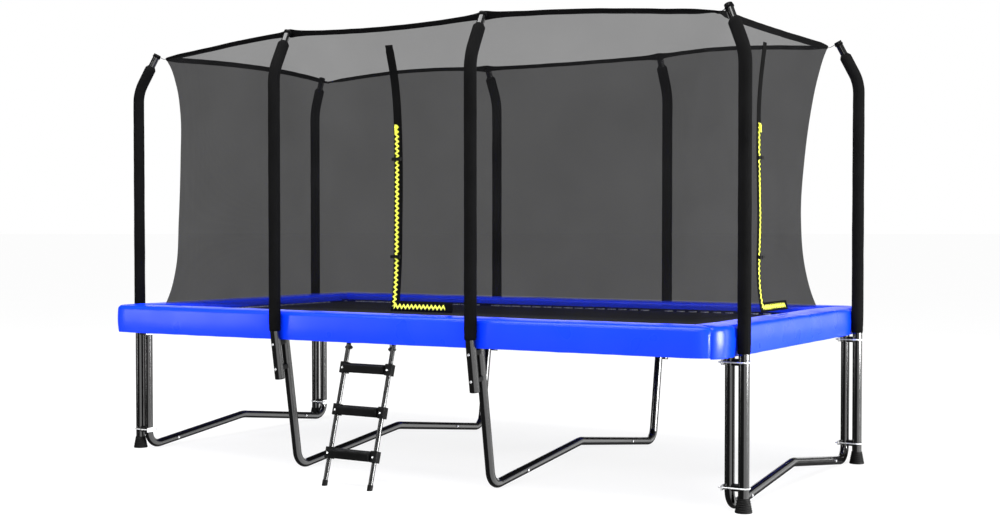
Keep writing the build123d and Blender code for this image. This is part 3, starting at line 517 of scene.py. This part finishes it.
def net_loop(z):
    """(x, y, on a long wall) round the net at a height, from the front left corner."""
    left, right, end = LEFT_CORNER_X(z), RIGHT_CORNER_X(z), CORNER_Y(z)

    def run(start, stop, count):
        return [start + (stop - start) * k / count for k in range(count)]

    def long_at(x):
        return long_wall(x, z, right if x > 0 else left)

    loop = [(x, -long_at(x), True) for x in run(-left, right, LONG_COLUMNS)]
    loop += [(short_wall(y, z, right), y, False) for y in run(-end, end, SHORT_COLUMNS)]
    loop += [(x, long_at(x), True) for x in run(right, -left, LONG_COLUMNS)]
    loop += [(-short_wall(y, z, left), y, False) for y in run(end, -end, SHORT_COLUMNS)]
    return loop


COLUMNS = 2 * (LONG_COLUMNS + SHORT_COLUMNS)
CORNER_COLUMNS = (0, LONG_COLUMNS, LONG_COLUMNS + SHORT_COLUMNS, 2 * LONG_COLUMNS + SHORT_COLUMNS)


def corner_nearness(column):
    gap = min(min((column - c) % COLUMNS, (c - column) % COLUMNS) for c in CORNER_COLUMNS)
    return max(0.0, 1.0 - gap / 4.0)


CORNER_SHARE = np.array([corner_nearness(c) for c in range(COLUMNS)])[:, None]
TOP_LOOP = net_loop(NET_TOP)
BAND_Z = np.array([band_height(*p) for p in TOP_LOOP])


def net_ring(share):
    """Points round the net at a share of its height, and their outward directions."""
    plan_z = NET_FOOT + share * (NET_TOP - NET_FOOT)
    plan = np.array([p[:2] for p in net_loop(plan_z)])
    for _ in range(5):
        around = (np.roll(plan, 1, 0) + np.roll(plan, -1, 0)) / 2
        plan += (around - plan) * 0.6 * (CORNER_SHARE > 0)
    along = np.roll(plan, -1, 0) - np.roll(plan, 1, 0)
    out = np.stack([along[:, 1], -along[:, 0]], 1)
    out /= np.linalg.norm(out, axis=1)[:, None]
    z = NET_FOOT + share * (BAND_Z - NET_FOOT)
    return plan + out * NET_LIFT, out, z


def net_ruffle(x, y, z, share):
    """Slight unevenness of the hung cloth, none at the doors and the foot."""
    clear = ease((min(abs(x), abs(y)) - 0.10) / 0.15) * ease(share / 0.08)
    slow = noise.noise(Vector((x * 1.7, y * 1.7, z * 1.1)))
    pleat = noise.noise(Vector((x * 11.0, y * 11.0, z * 0.8 + 5.0)))
    near_band = ease((share - 0.80) / 0.2)
    depth = 0.0003 + 0.004 * near_band * (1 - near_band)
    return clear * (0.004 * slow * (1 - near_band) + pleat * depth)


def build_net():
    rows = []
    for r in range(NET_ROWS + 1):
        share = r / NET_ROWS
        plan, out, z = net_ring(share)
        row = []
        for c in range(COLUMNS):
            x, y = plan[c]
            push = net_ruffle(x, y, z[c], share)
            row.append((x + out[c][0] * push, y + out[c][1] * push + CENTRE_Y, z[c]))
        rows.append(row)
    return add_grid("safety_net", rows, LOOKS["net_mesh"], around=True)


safety_net = build_net()
safety_net.visible_shadow = safety_net.visible_diffuse = safety_net.visible_glossy = False
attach(safety_net, "frame")
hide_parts("net_front", "net_back", "net_left", "net_right")


# ---- the net's top band and its ties ----
def build_band():
    plan, out, z = net_ring(1.0)
    sections = []
    for c in range(COLUMNS):
        x, y = plan[c]
        on_long = TOP_LOOP[c][2]
        near = math.exp(-abs(abs(x) - MID_LEG_X) / 0.055) if on_long else 0.0
        corner = min(math.hypot(abs(x) - BAND_END_X, abs(y) - BAND_END_Y) / 0.16, 1.0)
        half = (0.0145 if on_long else 0.0185) * (0.42 + 0.58 * ease(corner))
        up, down = half + 0.013 * near, half + 0.014 * near
        wobble = 0.0015 * noise.noise(Vector((x * 9, y * 9, 1.0)))
        normal = Vector((out[c][0], out[c][1], 0.0))
        centre = Vector((x, y + CENTRE_Y, z[c] + wobble))
        slope = Vector((0, 0, 1)) + normal * 0.30
        inside, outside = normal * -0.0012, normal * 0.0016
        ring = []
        for share, side in ((-1, 0.5), (-0.93, 1), (-0.5, 1.25), (0, 1.35), (0.5, 1.25),
                            (0.93, 1), (1, 0.5)):
            ring.append(centre + slope * (share * (up if share > 0 else down)) + outside * side)
        for share in (1, 0.5, 0, -0.5, -1):
            ring.append(centre + slope * (share * (up if share > 0 else down)) + inside)
        sections.append(ring)
    sections.append(sections[0])
    band = add_grid("net_top_band", sections, LOOKS["webbing"], around=True)
    face_outwards(band, merge=True)
    return band


net_band = build_band()
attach(net_band, "frame")

POLE_LEAN = math.radians(27.5)
CORNER_AIM = Vector((0.9, 0.436, 0)).normalized()
POLES = []      # kind, sides, foot, direction of the lean, top, and the sleeve's ends
for sx, sy in CORNERS:
    POLES.append(("corner", sx, sy, Vector((sx * CORNER_POLE.x, sy * CORNER_POLE.y, 0)),
                  Vector((-sx * CORNER_AIM.x, -sy * CORNER_AIM.y, 0)), 2.713, (0.845, 2.632)))
    POLES.append(("mid", sx, sy, Vector((sx * MID_LEG_X, sy * MID_POLE_Y, 0)),
                  Vector((0, -sy, 0)), POLE_TOP_MID, (0.882, POLE_TOP_MID - 0.069)))
BEND_DROP, BEND_RADIUS = 0.262, 0.280


def pole_place(foot, aim, top, z):
    """Point of a pole's centre line at a height, and its direction there."""
    knee = top - BEND_DROP
    tangent = BEND_RADIUS * math.tan(POLE_LEAN / 2)
    low, high = knee - tangent, knee + tangent * math.cos(POLE_LEAN)
    turn, run = 0.0, 0.0
    if z >= high:
        turn, run = POLE_LEAN, (z - knee) * math.tan(POLE_LEAN)
    elif z > low:
        turn = math.asin((z - low) / BEND_RADIUS)
        run = BEND_RADIUS * (1 - math.cos(turn))
    place = Vector((foot.x, foot.y + CENTRE_Y, 0)) + aim * run + Vector((0, 0, z))
    return place, aim * math.sin(turn) + Vector((0, 0, math.cos(turn)))


def band_point(x, y):
    """The band's point nearest to a place, in the row frame."""
    plan, _, z = net_ring(1.0)
    gaps = np.hypot(plan[:, 0] - x, plan[:, 1] - y)
    c = int(np.argmin(gaps))
    return Vector((plan[c][0], plan[c][1] + CENTRE_Y, z[c]))


def build_ties():
    """A webbing loop round each pole's tip and a short strap from it to the band."""
    parts = []
    for kind, sx, sy, foot, aim, top, _ in POLES:
        centre, direction = pole_place(foot, aim, top, top - 0.016)
        side = direction.cross(Vector((0, 0, 1))).normalized()
        front = side.cross(direction)
        loop = []
        for k in range(25):
            turn = 2 * math.pi * k / 24
            radius = 0.0245 + 0.0006 * math.sin(3 * turn)
            lean = direction * (0.004 * math.cos(turn))
            loop.append(centre + (side * math.cos(turn) + front * math.sin(turn)) * radius + lean)
        section = []
        for k, point in enumerate(loop):
            away = (point - centre).normalized()
            section.append([point + away * a + direction * b for a, b in (
                (0, -0.007), (0.0018, -0.006), (0.0022, 0), (0.0018, 0.006), (0, 0.007),
                (-0.0004, 0))])
        parts.append((section, True, False))
        if kind == "corner":
            target = band_point(sx * BAND_END_X, sy * BAND_END_Y)
            start = centre + aim * 0.022
            sag = Vector((0, 0, -0.006))
            path = [start, start.lerp(target, 0.3) + sag * 0.7, start.lerp(target, 0.65) + sag,
                    target]
            width = 0.009
        else:
            target = band_point(sx * MID_LEG_X, sy * 1.15) + Vector((0, 0, 0.010))
            start = centre + aim * 0.024 + direction * 0.004
            path = [start, start.lerp(target, 0.5), target + Vector((0, 0, -0.004))]
            width = 0.020
        parts.append((swept(path, slab_section(width, 0.0024)), True, True))
    return joined("net_ties", parts, LOOKS["webbing"])


net_ties = build_ties()
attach(net_ties, "frame")


# ---- padded pole sleeves ----
SLEEVE_RADIUS, SLEEVE_SIDES = 0.0365, 40


def build_sleeve(name, foot, aim, top, ends, seed):
    low, high = ends
    side = Vector((-aim.y, aim.x, 0))
    turns = [2 * math.pi * k / SLEEVE_SIDES for k in range(SLEEVE_SIDES)]

    def ring(share):
        centre, direction = pole_place(foot, aim, top, low + (high - low) * share)
        front = side.cross(direction)
        return centre, [side * math.cos(turn) + front * math.sin(turn) for turn in turns]

    rows = []
    count = 110
    for i in range(count + 1):
        share = i / count
        near_low, near_high = (high - low) * share, (high - low) * (1 - share)
        centre, spokes = ring(share)
        gather = 1 - 0.10 * math.exp(-near_low / 0.012)
        gather -= 0.05 * math.exp(-((near_low - 0.030) / 0.007) ** 2)
        shoulder = math.sqrt(max(1 - (1 - min(near_high / 0.020, 1.0)) ** 2, 0.0))
        radius = 0.024 + (SLEEVE_RADIUS * gather - 0.024) * shoulder
        row = []
        for turn, away in zip(turns, spokes):
            probe = centre * 7 + away * 0.35 + Vector((seed, 0, 0))
            wrinkle = 0.0011 * noise.noise(probe) + 0.0005 * noise.noise(probe * 4)
            pleats = 0.0009 * math.cos(9 * turn + seed) * math.exp(-near_low / 0.05)
            seam = 0.0016 * math.exp(-((turn - math.pi / 2) / 0.09) ** 2)
            row.append(centre + away * (radius + wrinkle + pleats + seam))
        rows.append(row)
    inner = []
    for share, tuck in ((0.0, 0.87), (0.004, 0.85)):
        centre, spokes = ring(share)
        inner.insert(0, [centre + away * (SLEEVE_RADIUS * tuck) for away in spokes])
    return add_grid(name, inner + rows, LOOKS["sleeve_cloth"], around=True, capped=True)


sides = {-1: ("left", "front"), 1: ("right", "back")}
for number, (kind, sx, sy, foot, aim, top, ends) in enumerate(POLES):
    label = f"sleeve_{kind}_{sides[sy][1]}_{sides[sx][0]}"
    sleeve = build_sleeve(label, foot, aim, top, ends, 3.7 * number)
    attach(sleeve, "frame")
    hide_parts("pole_sleeves", "pole_foam")


# ---- pads ----
PAD_TOP_Z, SKIRT_Z = PAD_HIGH.z, PAD_LOW.z
PAD_ROUND = 0.140
FOAM_Z = PAD_TOP_Z - 0.046
PAD_DEPTH = PAD_X - PAD_LOW.x
PAD_BULGE = 0.011


def arc_points(cx, cz, radius, start, stop, count):
    turns = [math.radians(start + (stop - start) * k / count) for k in range(count + 1)]
    return [(cx - radius * math.cos(a), cz + radius * math.sin(a)) for a in turns]


def pad_profile():
    """(depth in from the outer face, z) round a pad's section, from the skirt's foot."""
    edge, crown, inner = 0.026, 0.005, 0.020
    shape = []
    for k in range(9):
        t = k / 8
        belly = 0.004 * math.sin(math.pi * t)
        shape.append((0.0025 * (1 - t) - belly,
                      SKIRT_Z + 0.004 + (PAD_TOP_Z - edge - SKIRT_Z - 0.004) * t))
    shape += arc_points(edge, PAD_TOP_Z - edge, edge, 0, 90, 7)[1:]
    for k in range(1, 14):
        t = k / 14
        shape.append((edge + (PAD_DEPTH - edge - inner) * t,
                      PAD_TOP_Z - 0.002 * t + crown * math.sin(math.pi * t) ** 0.8))
    shape += arc_points(PAD_DEPTH - inner, PAD_TOP_Z - inner - 0.002, inner, 90, 180, 6)[1:]
    shape += [(PAD_DEPTH - 0.0005, FOAM_Z + 0.006), (PAD_DEPTH - 0.001, FOAM_Z - 0.004),
              (PAD_DEPTH - 0.003, FOAM_Z - 0.008), (PAD_DEPTH - 0.0055, FOAM_Z - 0.0065),
              (PAD_DEPTH - 0.007, FOAM_Z - 0.002)]
    shape += [(PAD_DEPTH - 0.02, FOAM_Z), (0.14, FOAM_Z - 0.001), (0.06, FOAM_Z - 0.001),
              (0.022, FOAM_Z), (0.011, FOAM_Z - 0.006), (0.0085, FOAM_Z - 0.02)]
    for t in (0.25, 0.5, 0.75):
        shape.append((0.0075, FOAM_Z - 0.02 - (FOAM_Z - 0.02 - SKIRT_Z - 0.004) * t))
    shape += [(0.0085, SKIRT_Z + 0.005), (0.0075, SKIRT_Z + 0.001), (0.005, SKIRT_Z)]
    shape.append((0.003, SKIRT_Z + 0.001))
    return shape


PROFILE = pad_profile()


def pole_relief(along, on_long):
    """0 at a pole, where the pad is held flat, and 1 well away from it."""
    pole = MID_LEG_X if on_long else CORNER_POLE.y
    gap = min(abs(along + pole), abs(along - pole))
    return 1 - math.exp(-max(gap - POLE_RADIUS, 0.0) / 0.055)


def pad_point(depth, share, on_long):
    """Plan point of one long (or short) side's pad, share from -1 to 1 between mitres.

    Returned as (along, out from the middle, outward direction along, outward).
    """
    half_long = PAD_X if on_long else PAD_Y
    half_out = PAD_Y if on_long else PAD_X
    radius = max(PAD_ROUND - depth, 0.0)
    straight = half_long - max(PAD_ROUND, depth)
    length = straight + radius * math.pi / 4
    run = abs(share) * length
    sign = 1 if share >= 0 else -1
    if run <= straight or radius == 0.0:
        return sign * min(run, straight), half_out - depth, 0.0, 1.0
    turn = (run - straight) / radius
    return (sign * (straight + radius * math.sin(turn)),
            half_out - PAD_ROUND + radius * math.cos(turn), sign * math.sin(turn), math.cos(turn))


def build_pad(name, on_long, sign):
    columns = 240 if on_long else 150
    rows = []
    for c in range(columns + 1):
        share = -1 + 2 * c / columns
        end_gap = (1 - abs(share)) * (PAD_X if on_long else PAD_Y)
        tuck = math.exp(-(end_gap / 0.016) ** 2) * 0.0035
        middle_z = (PAD_TOP_Z + FOAM_Z) / 2
        row = []
        for depth, z in PROFILE:
            along, outward, dir_along, dir_out = pad_point(depth, share, on_long)
            relief = pole_relief(along, on_long)
            outer = max(0.0, 1 - depth / 0.10)
            wave = noise.noise(Vector((along * 2.3, sign * 4.0 + (0 if on_long else 9), z * 2.0)))
            fine = noise.noise(Vector((along * 9.0, sign * 3.0, z * 5.0 + depth * 6.0)))
            push = (PAD_BULGE * relief + 0.0025 * wave * relief + 0.0004 * fine) * outer
            push -= tuck * outer
            if z < FOAM_Z + 0.004 and depth > 0.004:
                push = min(push, PAD_BULGE * relief * outer)
            lift = 0.0
            if z > FOAM_Z + 0.004:
                lift = 0.0025 * wave + 0.001 * fine - tuck * (1 if z > middle_z else -1)
            hem = 0.0015 * fine if z < SKIRT_Z + 0.02 else 0.0
            if on_long and sign < 0:
                hem -= (0.002 - 0.0035 * along) * (PAD_TOP_Z - z) / (PAD_TOP_Z - SKIRT_Z)
            a, o = along + dir_along * push, outward + dir_out * push
            if on_long:
                row.append((a, sign * o + CENTRE_Y, z + lift + hem))
            else:
                row.append((sign * o, a + CENTRE_Y, z + lift + hem))
        rows.append(row)
    pad = add_grid(name, rows, LOOKS["pad_vinyl"], around=True, capped=True)
    face_outwards(pad)
    return pad


for name, node, on_long, sign in (
    ("pad_front_cover", "pad_front", True, -1), ("pad_back_cover", "pad_back", True, 1),
    ("pad_left_cover", "pad_left", False, -1), ("pad_right_cover", "pad_right", False, 1),
):
    cover = build_pad(name, on_long, sign)
    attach(cover, "frame")
    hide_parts(node)


# ---- jumping mat, rings and springs ----
MAT_SAG = 0.008


def build_mat():
    nx, ny = 120, 64
    rows = []
    for j in range(ny + 1):
        v = -1 + 2 * j / ny
        row = []
        for i in range(nx + 1):
            u = -1 + 2 * i / nx
            sag = (1 - abs(u) ** 2.2) ** 0.75 * (1 - abs(v) ** 2.2) ** 0.75
            row.append((u * MAT_X, v * MAT_Y + CENTRE_Y, MAT_Z + 0.001 - MAT_SAG * sag))
        rows.append(row)
    return add_grid("mat_sheet", rows, LOOKS["mat_cloth"])


mat_sheet = build_mat()
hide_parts("jump_mat")
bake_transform(mat_sheet)

COIL_RADIUS, WIRE_RADIUS = 0.0078, 0.0017
COIL_TURNS, COIL_STEPS = 22, 9


def spring_place(points):
    """A spring's rail end and mat end, from its CAD solid."""
    plan = points[:, :2]
    centre = plan.mean(0)
    _, _, axes = np.linalg.svd(plan - centre)
    axis = axes[0]
    reach = (plan - centre) @ axis
    ends = (centre + axis * (reach.min() + WIRE_RADIUS),
            centre + axis * (reach.max() - WIRE_RADIUS))
    away = [abs(e[0]) / (MAT_X + 0.15) + abs(e[1] - CENTRE_Y) / (MAT_Y + 0.15) for e in ends]
    rail, mat_end = ends if away[0] > away[1] else ends[::-1]
    return Vector((*rail, MAT_Z)), Vector((*mat_end, MAT_Z))


def spring_wire(rail, hook):
    """Centre line of a spring's wire: rail hook, coil, ring hook."""
    ahead = (hook - rail).normalized()
    length = (hook - rail).length
    side = ahead.cross(Vector((0, 0, 1)))
    up = Vector((0, 0, 1))
    start, stop = 0.014, length - 0.013
    path = [rail - up * 0.012, rail - up * 0.002, rail + ahead * 0.003 + up * 0.0015,
            rail + ahead * (start - 0.002)]
    steps = COIL_TURNS * COIL_STEPS
    for k in range(steps + 1):
        t = k / steps
        turn = 2 * math.pi * COIL_TURNS * t
        grow = min(1.0, min(t, 1 - t) * COIL_TURNS * 1.3 + 0.25)
        offset = side * math.sin(turn) + up * math.cos(turn)
        path.append(rail + ahead * (start + (stop - start) * t) + offset * COIL_RADIUS * grow)
    path += [rail + ahead * (length - 0.005), rail + ahead * length + up * 0.0005,
             rail + ahead * (length + 0.001) - up * 0.004,
             rail + ahead * (length - 0.003) - up * 0.0075]
    return path


def sorted_by_side(places):
    """Groups of places by the side or corner of the mat that they belong to."""
    groups = {}
    for place in places:
        rail, hook = place
        ahead = (hook - rail).normalized()
        key = (round(-ahead.x * 0.9), round(-ahead.y * 0.9))
        groups.setdefault(key, []).append(place)
    return groups


SIDE_NAMES = {(0, -1): "front", (0, 1): "back", (-1, 0): "left", (1, 0): "right",
              (-1, -1): "front_left", (1, -1): "front_right", (-1, 1): "back_left",
              (1, 1): "back_right"}


def blend_inwards(piece):
    """Bakes the piece's placement into its mesh; nothing ties it to the frame or the mat."""
    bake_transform(piece)


spring_places = [spring_place(points) for points in solids_of("springs")]
for key, places in sorted_by_side(spring_places).items():
    wire = ring_section(WIRE_RADIUS, 5)
    parts = [(swept(spring_wire(rail, hook), wire), True, True) for rail, hook in places]
    coil = joined("springs_" + SIDE_NAMES[key], parts, LOOKS["spring_steel"])
    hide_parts("springs")
    blend_inwards(coil)


def build_rings(key, places):
    """Triangular rings at the mat's edge, with the webbing loops that hold them."""
    wires, loops = [], []
    for rail, hook in places:
        ahead = (hook - rail).normalized()
        side = ahead.cross(Vector((0, 0, 1)))
        z = Vector((0, 0, MAT_Z - 0.0046))
        tip = Vector((hook.x, hook.y, 0)) - ahead * 0.006 + z
        left, right = tip + ahead * 0.030 + side * 0.019, tip + ahead * 0.030 - side * 0.019
        corners = [tip, left, right]
        path = []
        for k in range(3):
            a, b, c = corners[k - 1], corners[k], corners[(k + 1) % 3]
            path += [b.lerp(a, 0.22), b.lerp(a, 0.08).lerp(b.lerp(c, 0.08), 0.5), b.lerp(c, 0.22)]
        rows = swept(path + [path[0]], ring_section(0.0021, 8))
        wires.append((rows, True, False))
        fold = [tip + ahead * d + Vector((0, 0, h)) for d, h in (
            (0.062, 0.0035), (0.040, 0.0030), (0.030, 0.0040), (0.0255, 0.0005), (0.030, -0.0032),
            (0.040, -0.0030), (0.060, -0.0010))]
        strap = slab_section(0.026, 0.0016)
        rows = [[p + side * a + Vector((0, 0, b)) for a, b in strap] for p in fold]
        loops.append((rows, True, True))
    name = SIDE_NAMES[key]
    rings = joined("rings_" + name, wires, LOOKS["zinc_steel"])
    webs = joined("ring_loops_" + name, loops, LOOKS["webbing"])
    return rings, webs


for key, places in sorted_by_side(spring_places).items():
    rings, webs = build_rings(key, places)
    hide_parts("v_rings")
    blend_inwards(rings)
    blend_inwards(webs)


# ---- door zips ----
TAPE_BACK, TAPE_FRONT = 0.0046, 0.0072
TAPE_HALF, TAPE_FOOT_Z, TAPE_TOP_Z = 0.030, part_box("zip_tapes")[0].z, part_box("zip_tapes")[1].z
FOOT_HALF = 0.028
TEETH_SHIFT, ZIP_HIGH_Z, ZIP_RUN = 0.008, 2.152, 0.390


def wall_level(z, on_long):
    """Distance of a wall's inside from the middle, at a door."""
    top = band_height(0.0, 0.0, on_long)
    plan_z = NET_FOOT + (z - NET_FOOT) / (top - NET_FOOT) * (NET_TOP - NET_FOOT)
    return LONG_MIDDLE(plan_z) if on_long else SHORT_MIDDLE(plan_z)


def on_door(across, z, lift, on_long):
    """Point of a door: across is towards the foot run, lift is out of the net."""
    level = wall_level(z, on_long)
    wall = long_wall if on_long else short_wall
    edge = 0.0 if abs(across) < 0.05 else wall(across, z, RIGHT_CORNER_X(z)) - level
    if on_long:
        return Vector((across, CENTRE_Y - level - edge - lift, z))
    return Vector((level + edge + lift, across + CENTRE_Y, z))


def door_bow(z, on_long):
    """How far the pull of the net bows the tape sideways at a height."""
    if not on_long:
        return 0.0
    share = min(max((z - TAPE_FOOT_Z) / (ZIP_HIGH_Z - TAPE_FOOT_Z), 0.0), 1.0)
    above = max(z - ZIP_HIGH_Z, 0.0) / (TAPE_TOP_Z - ZIP_HIGH_Z)
    return 0.010 * math.sin(math.pi * share) - 0.020 * above


def build_tape(name, on_long):
    rows = []
    count = 120
    for i in range(count + 1):
        z = TAPE_FOOT_Z + (TAPE_TOP_Z - TAPE_FOOT_Z) * i / count
        taper = 1.0 if z < TAPE_TOP_Z - 0.03 else 0.92
        shape = slab_section(2 * TAPE_HALF * taper, TAPE_FRONT - TAPE_BACK)
        lift = (TAPE_BACK + TAPE_FRONT) / 2
        flap = 0.004 * math.sin(math.pi * min(max((z - 1.2) / 1.0, 0.0), 1.0))
        free = 1 if on_long else -1
        rows.append([on_door(a + door_bow(z, on_long) + (free * flap if a * free > 0 else 0.0),
                             z, lift + b, on_long) for a, b in shape])
    foot = []
    for i in range(61):
        across = -TAPE_HALF + (ZIP_RUN + 2 * TAPE_HALF) * i / 60
        shape = slab_section(2 * FOOT_HALF, TAPE_FRONT - TAPE_BACK)
        lift = (TAPE_BACK + TAPE_FRONT) / 2 + 0.0002
        foot.append([on_door(across, TAPE_FOOT_Z + FOOT_HALF + a, lift + b, on_long)
                     for a, b in shape])
    return joined(name, [(rows, True, True), (foot, True, True)], LOOKS["zip_tape"])


def build_zigzag(name, on_long):
    """The bright zigzag of stitching over the closed zip and along its foot."""
    pitch, swing, half = 0.0290, 0.0092, 0.0088
    lift_low, lift_high = TAPE_FRONT + 0.0001, TAPE_FRONT + 0.0005
    shift = -TEETH_SHIFT if on_long else TEETH_SHIFT

    def strip(length, place):
        count = int(length / (pitch / 2))
        rows = []
        for i in range(count + 1):
            run = i * pitch / 2
            centre = swing if i % 2 else -swing
            rows.append([place(run, centre + a, b) for a, b in (
                (-half, lift_low), (-half * 0.9, lift_high), (0, lift_high + 0.0001),
                (half * 0.9, lift_high), (half, lift_low), (0, lift_low))])
        return rows, True, True

    low = TAPE_FOOT_Z + FOOT_HALF
    parts = [
        strip(ZIP_HIGH_Z - low, lambda run, a, b: on_door(
            shift + a + door_bow(low + run, on_long), low + run, b, on_long)),
        strip(ZIP_RUN, lambda run, a, b: on_door(shift + run, low + a, b + 0.0004, on_long)),
    ]
    return joined(name, parts, YELLOW)


for label, on_long in (("front", True), ("side", False)):
    tape = build_tape(f"zip_tape_{label}", on_long)
    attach(tape, "frame")
    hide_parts("zip_tapes")
    stitch = build_zigzag(f"zip_zigzag_{label}", on_long)
    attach(stitch, "frame")


# ---- rubber feet ----
def build_feet():
    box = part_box("rubber_feet")
    high = box[1].z
    profile = [(0.030, 0.012), (0.030, high - 0.001), (0.0325, high), (0.0338, high - 0.002)]
    count = 60
    for i in range(count + 1):
        t = i / count
        z = high - 0.004 - (high - 0.010) * t
        radius = 0.0338 + 0.0125 * t
        rib = 0.0013 * math.cos(2 * math.pi * t * 5.5)
        profile.append((radius + rib * ease(min(t, 1 - t) * 8), z))
    profile += [(0.0470, 0.003), (0.0455, 0.0), (0.020, 0.0), (0.001, 0.0)]
    parts = []
    for sx, sy in CORNERS:
        centre = Vector((sx * CORNER_POLE.x, sy * CORNER_POLE.y + CENTRE_Y, 0))
        rows = [[centre + Vector((r * math.cos(a), r * math.sin(a), z))
                 for a in (2 * math.pi * k / 48 for k in range(48))] for r, z in profile]
        parts.append((rows, True, True))
    return joined("foot_boots", parts, LOOKS["rubber"])


feet = build_feet()
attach(feet, "frame")
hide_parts("rubber_feet")


# ---- CAD nodes that stay: finishes and softened edges ----
NODE_LOOKS = {
    "frame_paint": ("corner_rail_", "long_rail_", "short_rails", "leg_", "mid_leg_",
                    "end_base_bars", "mid_base_bars", "mid_rail_sockets"),
    "pole_paint": ("corner_lower_poles", "mid_lower_poles", "upper_poles"),
    "ladder_paint": ("ladder_rails", "ladder_hooks", "ladder_pivot_bolts"),
    "step_plastic": ("ladder_steps",),
    "black_plastic": ("pole_caps", "pole_bushes", "pole_end_plugs", "clamp_spacers"),
    "rubber": ("ladder_foot_caps",),
    "zinc_steel": ("clamp_u_bolts", "clamp_plates", "frame_bolts", "frame_nuts", "ladder_screws"),
    "zip_metal": ("zip_slider_", "pull_tab_"),
    "buckle_plastic": ("buckle_",),
}
BEVELS = {"ladder_steps": 0.004, "buckle_": 0.0012, "clamp_plates": 0.0008, "pole_caps": 0.002,
          "ladder_foot_caps": 0.0015, "zip_slider_": 0.001, "pull_tab_": 0.0006}

for node, obj in NODES.items():
    if obj.hide_render:
        continue
    found = [s for s, starts in NODE_LOOKS.items() if node.startswith(starts)]
    material = LOOKS[found[0]] if found else LOOKS["black_plastic"]
    if not obj.material_slots:
        obj.data.materials.append(material)
    for slot in obj.material_slots:
        slot.material = material
    for start, width in BEVELS.items():
        if node.startswith(start):
            bevel = obj.modifiers.new("soft_edges", "BEVEL")
            bevel.width = width
            bevel.segments = 3
            bevel.limit_method = "ANGLE"
            bevel.angle_limit = math.radians(40)
            bevel.harden_normals = False


# ---- floor and light ----
def build_floor():
    reach = 3000.0
    corners = [(x, y, -0.0005) for x, y in ((-reach, -reach), (reach, -reach), (reach, reach),
                                            (-reach, reach))]
    look = Look("floor", (0.18, 0.18, 0.18), 0.9, Specular_IOR_Level=0.0)
    look.color(look.tint(look.noise(0.6, 2.0), (0.178, 0.178, 0.178), (0.182, 0.182, 0.182)))
    look.set(look.shader, "Emission Color", (1, 1, 1, 1))
    look.set(look.shader, "Emission Strength", 0.84)
    floor = add_mesh("floor", corners, [(0, 1, 2, 3)], look.material)
    floor.visible_glossy = False
    return floor


build_floor()


def build_world():
    """White to the camera, a soft dome on cloth, and for gloss one bright low side at +X."""
    world = bpy.data.worlds.new("studio")
    SCENE.world = world
    world.use_nodes = True
    tree = world.node_tree
    tree.nodes.clear()

    def backdrop(strength):
        node = tree.nodes.new("ShaderNodeBackground")
        node.inputs[0].default_value = (1, 1, 1, 1)
        node.inputs[1].default_value = strength
        return node

    def ramp(value, *limits):
        node = tree.nodes.new("ShaderNodeMapRange")
        node.interpolation_type = "SMOOTHSTEP"
        tree.links.new(value, node.inputs[0])
        for slot, limit in enumerate(limits, 1):
            node.inputs[slot].default_value = limit
        return node.outputs[0]

    def chosen(share, a, b):
        node = tree.nodes.new("ShaderNodeMixShader")
        for slot, source in enumerate((share, a, b)):
            tree.links.new(source, node.inputs[slot])
        return node.outputs[0]

    rays = tree.nodes.new("ShaderNodeLightPath")
    seen, dome, gloss = backdrop(1.0), backdrop(0.75), backdrop(1.0)
    heading = tree.nodes.new("ShaderNodeTexCoord")
    split = tree.nodes.new("ShaderNodeSeparateXYZ")
    tree.links.new(heading.outputs["Generated"], split.inputs[0])
    strength = tree.nodes.new("ShaderNodeMath")
    strength.operation = "MULTIPLY"
    tree.links.new(ramp(split.outputs[0], 0.30, 0.50, 0.08, 2.2), strength.inputs[0])
    tree.links.new(ramp(split.outputs[2], 0.02, 0.14, 1.0, 0.15), strength.inputs[1])
    tree.links.new(strength.outputs[0], gloss.inputs[1])
    unseen = chosen(rays.outputs["Is Glossy Ray"], dome.outputs[0], gloss.outputs[0])
    out = tree.nodes.new("ShaderNodeOutputWorld")
    tree.links.new(chosen(rays.outputs["Is Camera Ray"], unseen, seen.outputs[0]), out.inputs[0])


def add_light(name, place, aim, size, power):
    data = bpy.data.lights.new(name, "AREA")
    data.shape = "RECTANGLE"
    data.size, data.size_y = size
    data.energy = power
    light = bpy.data.objects.new(name, data)
    light.location = place
    light.rotation_euler = (Vector(aim) - Vector(place)).to_track_quat("-Z", "Y").to_euler()
    light.visible_camera = False
    SCENE.collection.objects.link(light)


build_world()
add_light("key_overhead", (0.0, -2.5, 7.5), (0, 0, 1.0), (9.0, 5.0), 1000)
add_light("front_high", (0.0, -8.5, 5.6), (0, 1.0, 0.95), (9.0, 1.6), 420)
add_light("right_side", (9.5, 0.6, 0.95), (2.2, 0.2, 0.95), (4.6, 1.6), 1500)
add_light("right_back", (6.5, 8.5, 2.6), (1.8, 0.0, 1.0), (5.0, 4.5), 90)
add_light("back_wall", (-5.0, 10.0, 1.7), (-1.0, 0.0, 1.2), (15.0, 3.4), 200)
add_light("strip_left", (-9.4, -9.2, 1.8), (0, 0, 1.0), (2.0, 5.0), 300)
add_light("strip_camera", (7.6, -10.4, 2.2), (0, 0, 1.0), (0.7, 5.0), 50)

SCENE.view_settings.view_transform = "Standard"
